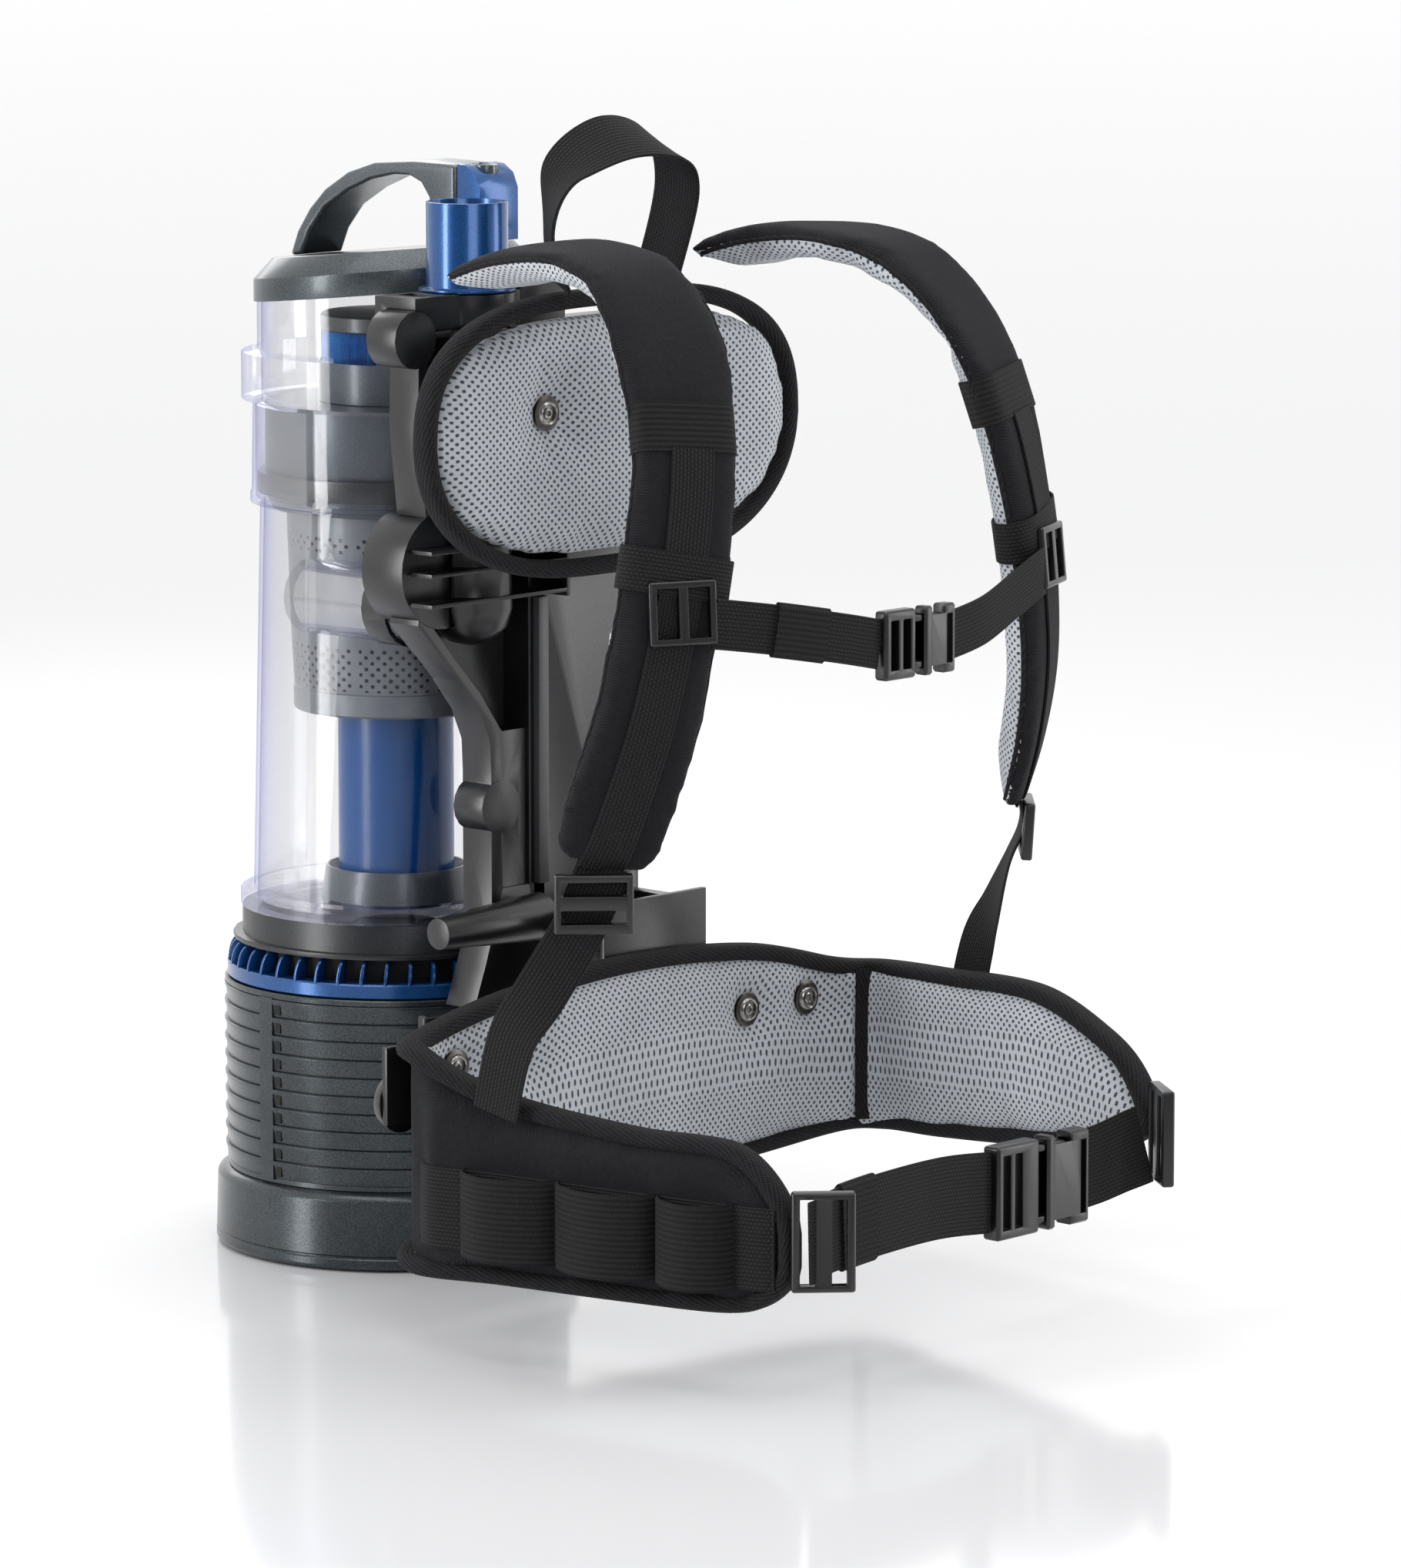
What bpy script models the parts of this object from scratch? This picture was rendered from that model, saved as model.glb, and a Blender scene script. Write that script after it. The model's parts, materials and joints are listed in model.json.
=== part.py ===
"""Backpack vacuum cleaner: base with motor, clear cyclone bin, carrying frame and harness.

Metres, +Z up. The origin is on the canister's axis, at the underside of the base.
The wearer is on the -Y side, so the harness lies towards -Y and -X is the wearer's right.
"""
import math

import bpy
import bmesh
from mathutils import Matrix, Vector

# ---------------------------------------------------------------- driving dimensions
GAP = 0.0003                 # clearance between pieces that touch
STEP = 0.0006                # small step between faces that would otherwise be flush
TURN_STEPS = 32              # steps round a large turned piece

BASE_R = 0.1175              # base, at the floor
BASE_H = 0.050
HOUSING_R = 0.1110           # slatted motor housing
HOUSING_TOP = 0.1735
HOUSING_WALL = 0.0030
VENT_R = 0.1090              # vent ring
VENT_TOP = 0.1980
VENT_SLOTS = 24
SEAT_R = 0.0990              # deck that the bin stands on
SEAT_TOP = 0.2190
AIR_PORT_R = 0.0280          # hole in the deck, from the bin's tube to the motor

BIN_FLANGE_R = 0.1000
BIN_FLANGE_H = 0.0100
BIN_R = 0.0915               # clear bin, outside, at its foot
BIN_TOP_R = 0.0855
BIN_TOP = 0.4780
BIN_WALL = 0.0025
UPPER_R = 0.0907             # clear upper housing
UPPER_MID_TOP = 0.5430
UPPER_FLANGE_R = 0.0968
UPPER_FLANGE_TOP = 0.5740
NECK_R = 0.0865
TUBE_R = 0.0370              # tube up the middle of the bin
TUBE_WALL = 0.0020
TUBE_TOP = 0.3450
RISER_R = 0.0260             # its narrower part, hidden in the shroud
RISER_TOP = 0.5420
SHROUD_R = 0.0650            # perforated shroud, at its foot
SHROUD_TOP_R = 0.0688
SHROUD_TOP = 0.4740
SHROUD_FOOT = 0.3453
CYCLONE_R = 0.0820
FILTER_R = 0.0425            # pleated filter
FILTER_H = 0.0480
PLEATS = 20
PLEAT_DEPTH = 0.005

LID_R = 0.0885
LID_FOOT = 0.6110            # lid's lower edge, on the axis
LID_SIDE_H = 0.0144
LID_TOP_R = 0.0765
LID_H = 0.0270
LID_WALL = 0.0025
LID_SLOPE = 0.100            # rise of the lid for each metre towards the wearer

HANDLE_W = 0.0380            # handle, across
HANDLE_TOP = 0.6962
HANDLE_FRONT_Y = -0.0740
BUTTON_R = 0.0110
BLOCK_W = 0.0340             # blue block at the handle's end
BLOCK_FRONT_Y = -0.0940

FRAME_FRONT_Y = -0.1300      # front face of the back frame
FRAME_BACK_Y = -0.1050
FRAME_WALL = 0.0030
FRAME_TOP = 0.6000
FRAME_FOOT = 0.1725
RIM_W = 0.0100               # rim round the frame's front pocket
SPINE_LEFT_X = -0.0460
RIB_HEIGHTS = (0.4330, 0.4520, 0.4660)
PANEL_RIGHT_X = 0.0880
ELBOW_R = 0.0370
ELBOW_X = -0.0870
ELBOW_Z = 0.4520
NECK_BACK_Y = -0.0760        # mouth of the elbow, where the bin's inlet meets it
BIN_INLET_R = 0.0240
DUCT_R = 0.0265              # cover of the suction duct, in the frame
PIPE_R = 0.0240
DUCT_X = -0.0560
DUCT_Y = -0.1220
DUCT_FOOT = 0.4010
INLET_R = 0.0255             # hose inlet tube
INLET_X = -0.0480
INLET_Y = -0.1130
INLET_WALL = 0.0022
INLET_TOP = 0.6770
BLOCK_TOP_Z = 0.6215         # housing under the hose inlet tube
BOSS_R = 0.0180              # upper screw bosses
BOSS_X = 0.1115
BOSS_Z = 0.5960

PAD_FACE_Y = -0.2000         # upper pad, wearer's side
PAD_T = 0.0200
PAD_HALF_W = 0.1680
PAD_TOP = 0.6250
PAD_FOOT = 0.4480
PAD_RIVET_X = 0.0630
PAD_RIVET_Z = 0.5520
BELT_FACE_Y = -0.2130        # waist belt, wearer's side
BELT_T = 0.0160
BELT_RIVETS_X = (0.1036, 0.1600)
BELT_RIVET_Z = 0.1600
BRACKET_T = 0.0045
RIVET_R = 0.0110
STRAP_T = 0.0200             # padded shoulder strap
WEB_T = 0.0018               # webbing
WEB_W = 0.0380
CHEST_W = 0.0300
BELT_WEB_W = 0.0500
LOOP_COUNT = 3               # elastic loops on the right wing
LOOP_RISE = 0.0210

MOTOR_R = 0.0640
MOTOR_FOOT = 0.0380
MOTOR_TOP = 0.1560
SHAFT_R = 0.0040
IMPELLER_R = 0.0560
AXIS_STEPS = 20


# ---------------------------------------------------------------- tools
def finish(name, bm, material, smooth=True):
    """Make the object of a bmesh, with its faces pointing out and its own material."""
    bmesh.ops.remove_doubles(bm, verts=bm.verts, dist=1e-6)
    bmesh.ops.recalc_face_normals(bm, faces=bm.faces)
    mesh = bpy.data.meshes.new(name)
    bm.to_mesh(mesh)
    bm.free()
    obj = bpy.data.objects.new(name, mesh)
    bpy.context.scene.collection.objects.link(obj)
    if smooth:
        mesh.shade_smooth()
        mesh.set_sharp_from_angle(angle=math.radians(35))
    if material:
        mesh.materials.append(material)
    return obj


def material(name, colour, roughness, metallic=0.0):
    """A plain Principled material."""
    mat = bpy.data.materials.new(name)
    mat.use_nodes = True
    shader = mat.node_tree.nodes["Principled BSDF"]
    shader.inputs["Base Color"].default_value = (*colour, 1.0)
    shader.inputs["Roughness"].default_value = roughness
    shader.inputs["Metallic"].default_value = metallic
    return mat


def circle_point(radius, angle, centre=(0.0, 0.0), height=0.0):
    return Vector((centre[0] + radius * math.cos(angle), centre[1] + radius * math.sin(angle), height))


def turned(profile, steps=TURN_STEPS, centre=(0.0, 0.0), closed=True):
    """Turn a profile of (radius, height) points round Z. A radius of 0 makes a pole.

    A third value in a point draws every other corner in by that much, for pleats.
    """
    bm = bmesh.new()
    rings = []
    for radius, height, *pleat in profile:
        if radius < 1e-7:
            rings.append([bm.verts.new((centre[0], centre[1], height))])
            continue
        depth = pleat[0] if pleat else 0.0
        rings.append([bm.verts.new(circle_point(radius - depth * (i % 2), math.tau * i / steps, centre, height))
                      for i in range(steps)])
    pairs = list(zip(rings, rings[1:]))
    if closed:
        pairs.append((rings[-1], rings[0]))
    for low, high in pairs:
        if len(low) == 1 and len(high) == 1:
            continue
        for i in range(steps):
            j = (i + 1) % steps
            corners = [low[i % len(low)], low[j % len(low)], high[j % len(high)], high[i % len(high)]]
            bm.faces.new(list(dict.fromkeys(corners)))
    return bm


def box(low, high, bevel=0.0):
    """A box between two corners, with its edges bevelled by one flat."""
    bm = bmesh.new()
    size = Vector(high) - Vector(low)
    matrix = Matrix.Translation((Vector(low) + Vector(high)) / 2) @ Matrix.Diagonal((*size, 1.0))
    bmesh.ops.create_cube(bm, size=1.0, matrix=matrix)
    if bevel:
        bmesh.ops.bevel(bm, geom=bm.edges[:], offset=bevel, segments=1, affect="EDGES")
    return bm


def prism(outline, low, high, axis="Y"):
    """Extrude a closed outline from low to high along an axis."""
    place = {"X": lambda a, b, d: (d, a, b), "Y": lambda a, b, d: (a, d, b), "Z": lambda a, b, d: (a, b, d)}[axis]
    bm = bmesh.new()
    near = [bm.verts.new(place(a, b, low)) for a, b in outline]
    far = [bm.verts.new(place(a, b, high)) for a, b in outline]
    count = len(outline)
    bm.faces.new(near)
    bm.faces.new(list(reversed(far)))
    for i in range(count):
        j = (i + 1) % count
        bm.faces.new((near[i], near[j], far[j], far[i]))
    return bm


def drum(centre, radius, low, high, axis="Y", steps=AXIS_STEPS, top_radius=None):
    """A cylinder or cone along an axis. centre gives the two other coordinates."""
    top_radius = radius if top_radius is None else top_radius
    bm = bmesh.new()
    rings = [[bm.verts.new(circle_point(r, math.tau * i / steps, height=h)) for i in range(steps)]
             for r, h in ((radius, low), (top_radius, high))]
    bm.faces.new(rings[0])
    bm.faces.new(rings[1])
    for i in range(steps):
        j = (i + 1) % steps
        bm.faces.new((rings[0][i], rings[0][j], rings[1][j], rings[1][i]))
    turn = {"Z": Matrix(), "Y": Matrix(((1, 0, 0, 0), (0, 0, 1, 0), (0, 1, 0, 0), (0, 0, 0, 1))),
            "X": Matrix(((0, 0, 1, 0), (1, 0, 0, 0), (0, 1, 0, 0), (0, 0, 0, 1)))}[axis]
    move = {"Z": (centre[0], centre[1], 0), "Y": (centre[0], 0, centre[1]), "X": (0, centre[0], centre[1])}[axis]
    bmesh.ops.transform(bm, matrix=Matrix.Translation(move) @ turn, verts=bm.verts)
    return bm


def rounded(half_w, low, high, radius, steps=4):
    """Outline of a rounded rectangle, centred on zero across."""
    corners = ((half_w - radius, high - radius, 0), (-half_w + radius, high - radius, 1),
               (-half_w + radius, low + radius, 2), (half_w - radius, low + radius, 3))
    points = []
    for cx, cz, quarter in corners:
        for i in range(steps + 1):
            angle = math.pi / 2 * (quarter + i / steps)
            points.append((cx + radius * math.cos(angle), cz + radius * math.sin(angle)))
    return points


def boolean(obj, cutter, operation="DIFFERENCE"):
    """Apply a cutter to an object with a live Boolean, and hide the cutter."""
    cutter.hide_render = True
    cutter.display_type = "WIRE"
    modifier = obj.modifiers.new(operation.title(), "BOOLEAN")
    modifier.operation = operation
    modifier.solver = "EXACT"
    modifier.object = cutter
    return obj


def cut(obj, *shapes):
    for bm in shapes:
        boolean(obj, finish(f"{obj.name}_cut_{len(obj.modifiers)}", bm, None, smooth=False))
    return obj


def join(obj, *shapes):
    for bm in shapes:
        boolean(obj, finish(f"{obj.name}_add_{len(obj.modifiers)}", bm, None, smooth=False), "UNION")
    return obj


def blend_through(stations, count):
    """Catmull-Rom through stations, each a tuple of vectors or numbers, at count even steps."""
    result = []
    last = len(stations) - 1
    for k in range(count):
        u = k * last / (count - 1)
        i = min(int(u), last - 1)
        t = u - i
        quad = [stations[max(0, min(last, i + d))] for d in (-1, 0, 1, 2)]
        row = []
        for p0, p1, p2, p3 in zip(*quad):
            row.append(0.5 * (2 * p1 + (p2 - p0) * t + (2 * p0 - 5 * p1 + 4 * p2 - p3) * t * t
                              + (3 * p1 - p0 - 3 * p2 + p3) * t ** 3))
        result.append(row)
    return result


def frames(stations):
    """Yield place, across, normal, width and thickness of each station of a strip."""
    places = [s[0] for s in stations]
    for i, (place, across, width, thick) in enumerate(stations):
        along = (places[min(i + 1, len(places) - 1)] - places[max(i - 1, 0)]).normalized()
        across = (across - along * across.dot(along)).normalized()
        yield place, across, along.cross(across), width, thick


def strip(stations, count, corners=0.0):
    """A closed strip through stations of (place, across, width, thickness)."""
    bm = bmesh.new()
    rings = []
    for place, across, normal, width, thick in frames(blend_through(stations, count)):
        w, t = width / 2, thick / 2
        c = min(corners, t * 0.9)
        if c:
            section = ((w - c, t), (-w + c, t), (-w, t - c), (-w, -t + c),
                       (-w + c, -t), (w - c, -t), (w, -t + c), (w, t - c))
        else:
            section = ((w, t), (-w, t), (-w, -t), (w, -t))
        rings.append([bm.verts.new(place + across * a + normal * b) for a, b in section])
    sides = len(rings[0])
    for low, high in zip(rings, rings[1:]):
        for i in range(sides):
            j = (i + 1) % sides
            bm.faces.new((low[i], low[j], high[j], high[i]))
    bm.faces.new(rings[0])
    bm.faces.new(list(reversed(rings[-1])))
    return bm


def slope(bm, from_height):
    """Tilt all that lies above a height, so that it rises towards the wearer."""
    for vert in bm.verts:
        if vert.co.z > from_height:
            vert.co.z -= LID_SLOPE * vert.co.y
    return bm


# ---------------------------------------------------------------- materials
for old in list(bpy.data.objects):
    bpy.data.objects.remove(old)

DARK_METALLIC = material("dark_metallic_plastic", (0.085, 0.090, 0.098), 0.38, 0.35)
GREY_METALLIC = material("grey_metallic_plastic", (0.17, 0.18, 0.19), 0.35, 0.45)
SILVER = material("silver_plastic", (0.42, 0.44, 0.46), 0.32, 0.5)
BLUE = material("blue_metallic_plastic", (0.012, 0.075, 0.30), 0.25, 0.4)
CLEAR = material("clear_plastic", (0.80, 0.82, 0.90), 0.08)
SHROUD_GREY = material("shroud_grey_plastic", (0.20, 0.22, 0.24), 0.45)
BLACK = material("black_plastic", (0.020, 0.021, 0.023), 0.45)
STRIP_GREY = material("strip_grey_plastic", (0.17, 0.17, 0.17), 0.5)
MESH = material("air_mesh", (0.55, 0.57, 0.60), 0.9)
FABRIC = material("black_fabric", (0.016, 0.016, 0.018), 0.9)
WEBBING = material("black_webbing", (0.012, 0.012, 0.013), 0.85)
STEEL = material("steel", (0.45, 0.45, 0.46), 0.25, 1.0)
GUNMETAL = material("gunmetal_rivet", (0.10, 0.095, 0.09), 0.3, 1.0)
FOAM = material("filter_foam", (0.05, 0.05, 0.06), 0.95)
PAPER = material("filter_paper", (0.02, 0.22, 0.55), 0.8)
MOTOR_METAL = material("motor_metal", (0.30, 0.31, 0.33), 0.4, 0.8)


# ---------------------------------------------------------------- base and motor
def base_foot():
    """Heavy round foot: a cup with an inward rim that carries the motor housing."""
    rim = HOUSING_R - 0.012
    profile = [(0, 0), (BASE_R - 0.004, 0), (BASE_R, 0.005), (BASE_R, BASE_H - 0.008),
               (BASE_R - 0.006, BASE_H), (rim, BASE_H), (rim, BASE_H - 0.004),
               (BASE_R - 0.004, BASE_H - 0.012), (BASE_R - 0.004, 0.004), (0, 0.004)]
    return finish("base_foot", turned(profile, closed=False), DARK_METALLIC)


def motor_housing():
    """Slatted drum round the motor."""
    inner = HOUSING_R - HOUSING_WALL
    profile = [(HOUSING_R, BASE_H + GAP), (HOUSING_R, HOUSING_TOP - GAP),
               (inner, HOUSING_TOP - GAP), (inner, BASE_H + GAP)]
    return finish("motor_housing", turned(profile), GREY_METALLIC)


def vent_ring():
    """Ring of upright fins with an exhaust slot between each two."""
    inner = VENT_R - 0.003
    low, high = HOUSING_TOP, VENT_TOP - GAP
    levels = (low, low + 0.005, high - 0.004, high)
    columns = VENT_SLOTS * 2
    bm = bmesh.new()
    wall = {}
    for c in range(columns):
        angle = math.tau * (c // 2 + (0.66 if c % 2 else 0.0)) / VENT_SLOTS
        for k, level in enumerate(levels):
            wall[c, k, 0] = bm.verts.new(circle_point(VENT_R, angle, height=level))
            wall[c, k, 1] = bm.verts.new(circle_point(inner, angle, height=level))
    for c in range(columns):
        d = (c + 1) % columns
        for k in range(3):
            if k == 1 and c % 2 == 0:
                bm.faces.new((wall[c, 1, 0], wall[d, 1, 0], wall[d, 1, 1], wall[c, 1, 1]))
                bm.faces.new((wall[c, 2, 0], wall[c, 2, 1], wall[d, 2, 1], wall[d, 2, 0]))
                bm.faces.new((wall[c, 1, 0], wall[c, 1, 1], wall[c, 2, 1], wall[c, 2, 0]))
                bm.faces.new((wall[d, 1, 0], wall[d, 2, 0], wall[d, 2, 1], wall[d, 1, 1]))
                continue
            bm.faces.new((wall[c, k, 0], wall[d, k, 0], wall[d, k + 1, 0], wall[c, k + 1, 0]))
            bm.faces.new((wall[c, k, 1], wall[c, k + 1, 1], wall[d, k + 1, 1], wall[d, k, 1]))
        bm.faces.new((wall[c, 0, 0], wall[c, 0, 1], wall[d, 0, 1], wall[d, 0, 0]))
        bm.faces.new((wall[c, 3, 0], wall[d, 3, 0], wall[d, 3, 1], wall[c, 3, 1]))
    return finish("vent_ring", bm, BLUE, smooth=False)


def bin_seat():
    """Deck over the motor: a dished plate with the air port and a lug for the back frame."""
    low, high = VENT_TOP, SEAT_TOP - GAP
    profile = [(AIR_PORT_R, low), (VENT_R - 0.004, low), (VENT_R - 0.004, low + 0.003), (SEAT_R, low + 0.003),
               (SEAT_R, high), (SEAT_R - 0.012, high), (SEAT_R - 0.012, low + 0.007), (AIR_PORT_R, low + 0.007)]
    obj = finish("bin_seat", turned(profile), DARK_METALLIC)
    lug = box((-0.030, FRAME_BACK_Y + GAP, low + 0.0031), (0.030, -SEAT_R + 0.006, high - 0.001))
    return join(obj, lug)


def motor():
    """Motor can with its fan casing, open at the top where the air comes in."""
    bore = SHAFT_R + 0.001
    profile = [(0.030, 0.004 + GAP), (0.050, 0.004 + GAP), (0.050, 0.095), (MOTOR_R, 0.098),
               (MOTOR_R, MOTOR_TOP), (AIR_PORT_R + 0.004, MOTOR_TOP), (AIR_PORT_R + 0.004, VENT_TOP - GAP),
               (AIR_PORT_R + 0.002, VENT_TOP - GAP), (AIR_PORT_R + 0.002, MOTOR_TOP - 0.002),
               (MOTOR_R - 0.002, MOTOR_TOP - 0.002), (MOTOR_R - 0.002, 0.112), (bore, 0.112),
               (bore, MOTOR_FOOT - 0.002), (0.030, MOTOR_FOOT - 0.002)]
    return finish("motor_can", turned(profile, AXIS_STEPS), MOTOR_METAL)


def motor_parts():
    """Fan and shaft, and the foam filter round the motor."""
    fan = [(0, MOTOR_FOOT + 0.004), (SHAFT_R, MOTOR_FOOT + 0.004), (SHAFT_R, 0.118), (IMPELLER_R, 0.118),
           (IMPELLER_R, 0.136), (0.020, 0.148), (0.020, 0.146), (IMPELLER_R - 0.002, 0.1345),
           (IMPELLER_R - 0.002, 0.120), (0.010, 0.120), (0.010, 0.150), (0, 0.150)]
    finish("impeller", turned(fan, AXIS_STEPS, closed=False), STEEL)
    foam = [(0.078, BASE_H + 0.002), (0.098, BASE_H + 0.002), (0.098, 0.168), (0.078, 0.168)]
    finish("exhaust_filter", turned(foam, AXIS_STEPS), FOAM)


# ---------------------------------------------------------------- bin and cyclone
def inlet_centre():
    """Axis of the bin's inlet, along Y: across and height."""
    return ELBOW_X + 0.006, ELBOW_Z - 0.027


def dust_bin():
    """Clear cup with a foot flange, a hole for the tube, and a scoop that takes in the dirty air."""
    foot = SEAT_TOP
    profile = [(TUBE_R + GAP, foot), (BIN_FLANGE_R, foot), (BIN_FLANGE_R, foot + BIN_FLANGE_H),
               (BIN_R, foot + BIN_FLANGE_H + 0.001), (BIN_TOP_R, BIN_TOP - GAP),
               (BIN_TOP_R - BIN_WALL, BIN_TOP - GAP), (BIN_R - BIN_WALL, foot + BIN_FLANGE_H),
               (BIN_R - BIN_WALL, foot + 0.004), (TUBE_R + GAP, foot + 0.004)]
    obj = finish("dust_bin", turned(profile), CLEAR)
    scoop = drum(inlet_centre(), BIN_INLET_R, NECK_BACK_Y + GAP, -0.006, steps=16)
    join(obj, scoop)
    bore = drum(inlet_centre(), BIN_INLET_R - BIN_WALL, NECK_BACK_Y - 0.01, -0.012, steps=16)
    inside = turned([(0, 0.30), (BIN_TOP_R - 0.0005, 0.30), (BIN_TOP_R - 0.0025, 0.470), (0, 0.470)], closed=False)
    return cut(obj, bore, inside)


def bin_insides():
    """Tube with its riser, perforated shroud and cyclone body inside the clear bin."""
    floor = SEAT_TOP + 0.004 + GAP
    inner = TUBE_R - TUBE_WALL
    riser = RISER_R - TUBE_WALL
    tube = [(TUBE_R, SEAT_TOP), (TUBE_R, floor), (0.0480, floor), (0.0450, 0.2330), (TUBE_R, 0.2330),
            (TUBE_R, TUBE_TOP), (RISER_R, TUBE_TOP), (RISER_R, RISER_TOP - 0.003), (0.0400, RISER_TOP - 0.003),
            (0.0400, RISER_TOP), (riser, RISER_TOP), (riser, TUBE_TOP - TUBE_WALL), (inner, TUBE_TOP - TUBE_WALL),
            (inner, SEAT_TOP)]
    finish("centre_tube", turned(tube, 32), BLUE)
    hub = RISER_R + GAP
    shroud = [(hub, SHROUD_FOOT), (SHROUD_R, SHROUD_FOOT), (SHROUD_TOP_R, SHROUD_TOP),
              (SHROUD_TOP_R - 0.002, SHROUD_TOP), (SHROUD_R - 0.002, SHROUD_FOOT + 0.002), (hub, SHROUD_FOOT + 0.002)]
    finish("shroud", turned(shroud), SHROUD_GREY)
    foot = SHROUD_TOP + GAP
    body = [(0.060, foot), (CYCLONE_R - 0.004, foot), (CYCLONE_R, 0.484), (CYCLONE_R, 0.542),
            (0.048, 0.542), (0.048, 0.539), (CYCLONE_R - 0.003, 0.539), (CYCLONE_R - 0.003, 0.484), (0.060, 0.484)]
    finish("cyclone_body", turned(body), SHROUD_GREY)


def upper_housing():
    """Clear upper housing: step, wide middle, clamp flange, and a neck with a sloping top."""
    neck_top = LID_FOOT - GAP
    seat = 0.5423
    profile = [(BIN_TOP_R - BIN_WALL, BIN_TOP), (UPPER_R + 0.001, BIN_TOP), (UPPER_R + 0.001, BIN_TOP + 0.006),
               (UPPER_R, BIN_TOP + 0.008), (UPPER_R - 0.001, UPPER_MID_TOP), (UPPER_FLANGE_R, UPPER_MID_TOP + 0.001),
               (UPPER_FLANGE_R, UPPER_FLANGE_TOP), (NECK_R, UPPER_FLANGE_TOP + 0.002), (NECK_R, neck_top),
               (NECK_R - BIN_WALL, neck_top), (NECK_R - BIN_WALL, seat), (UPPER_R - BIN_WALL, seat - 0.002),
               (UPPER_R - BIN_WALL, BIN_TOP + 0.003), (BIN_TOP_R - BIN_WALL, BIN_TOP + 0.003)]
    bm = slope(turned(profile), 0.595)
    return finish("upper_housing", bm, CLEAR)


def filter_cartridge():
    """Pleated filter under the lid: pleats between a foot ring and a cap."""
    foot = RISER_TOP + GAP
    low, high = foot + 0.004, foot + 0.004 + FILTER_H
    inner = FILTER_R - 0.004
    profile = [(0.025, foot), (FILTER_R + 0.004, foot), (FILTER_R + 0.004, low), (FILTER_R, low, PLEAT_DEPTH),
               (FILTER_R, high, PLEAT_DEPTH), (FILTER_R + 0.002, high), (FILTER_R + 0.002, high + 0.005),
               (0, high + 0.005), (0, high), (inner, high, PLEAT_DEPTH), (inner, low, PLEAT_DEPTH), (0.025, low)]
    return finish("pleated_filter", turned(profile, PLEATS * 2), PAPER, smooth=False)


# ---------------------------------------------------------------- lid, handle and release
def lid():
    """Sloping lid with a bevelled shoulder and a slot for the latch tongue."""
    top = LID_FOOT + LID_H
    profile = [(LID_R, LID_FOOT), (LID_R, LID_FOOT + LID_SIDE_H), (LID_TOP_R, top), (0, top),
               (0, top - LID_WALL), (LID_TOP_R - 0.001, top - LID_WALL),
               (LID_R - LID_WALL, LID_FOOT + LID_SIDE_H - 0.001), (LID_R - LID_WALL, LID_FOOT)]
    bm = turned(profile, closed=True)
    obj = finish("lid", slope(bm, 0.0), GREY_METALLIC)
    return cut(obj, box((-0.0090, -0.100, 0.6235), (0.0090, -0.070, 0.6305)))


def lid_surface(y):
    """Height of the lid's top face at a distance along Y."""
    return LID_FOOT + LID_H - LID_SLOPE * y


HANDLE_OUTER = ((0.0750, 0.6306), (0.0680, 0.6470), (0.0570, 0.6620), (0.0430, 0.6750), (0.0220, 0.6870),
                (-0.0020, 0.6940), (-0.0360, 0.6962), (-0.0740, 0.6955))
HANDLE_INNER = ((-0.0540, 0.6437), (-0.0525, 0.6600), (-0.0500, 0.6740), (-0.0430, 0.6830), (-0.0330, 0.6870),
                (-0.0190, 0.6870), (0.0015, 0.6830), (0.0220, 0.6750), (0.0430, 0.6630), (0.0570, 0.6470),
                (0.0640, 0.6319))


def handle():
    """Arched carrying handle with a wide leg at the wearer's end."""
    outline = list(HANDLE_OUTER) + [(HANDLE_FRONT_Y, lid_surface(HANDLE_FRONT_Y) + GAP)] + list(HANDLE_INNER)
    bm = prism(outline, -HANDLE_W / 2, HANDLE_W / 2, axis="X")
    return finish("handle", bm, SILVER, smooth=False)


def release_parts():
    """Blue block at the handle's end, thumb button and latch tongue."""
    back = HANDLE_FRONT_Y - GAP
    foot = lid_surface(back) + 0.0005
    top = HANDLE_TOP
    outline = [(back, foot), (back, top), (BLOCK_FRONT_Y + 0.012, top - 0.0008), (BLOCK_FRONT_Y + 0.004, top - 0.0060),
               (BLOCK_FRONT_Y, top - 0.0150), (BLOCK_FRONT_Y, foot + 0.0025)]
    block = finish("handle_block", prism(outline, -BLOCK_W / 2, BLOCK_W / 2, axis="X"), BLUE, smooth=False)
    centre = (0.0, (back + BLOCK_FRONT_Y) / 2 + 0.002)
    well = drum(centre, BUTTON_R * 0.72 + GAP, top - 0.016, top + 0.01, axis="Z", steps=20)
    cut(block, well)
    profile = [(0, top - 0.0100), (BUTTON_R * 0.72, top - 0.0100), (BUTTON_R * 0.72, top - 0.0004),
               (BUTTON_R * 0.5, top - 0.0016), (0, top - 0.0026)]
    finish("thumb_button", turned(profile, 20, centre, closed=False), BLUE)
    finish("latch_tongue", box((-0.0080, -0.1120, 0.6240), (0.0080, -0.0800, 0.6300)), BLACK, smooth=False)


# ---------------------------------------------------------------- back frame
ARM_EDGE = ((-0.1080, 0.600), (-0.1090, 0.540), (-0.1015, 0.4755), (-0.1100, 0.4190), (-0.0907, 0.3990),
            (-0.0732, 0.3810), (-0.0560, 0.3600), (-0.0470, 0.3400), (SPINE_LEFT_X, 0.3200))
FRAME_OUTLINE = ARM_EDGE + (
    (SPINE_LEFT_X, 0.215), (-0.0520, 0.198), (-0.0620, FRAME_FOOT), (0.0780, FRAME_FOOT), (0.0860, 0.186),
    (PANEL_RIGHT_X, 0.215), (PANEL_RIGHT_X, 0.440), (0.0960, 0.480), (0.1080, 0.560), (0.1080, 0.600))


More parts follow.
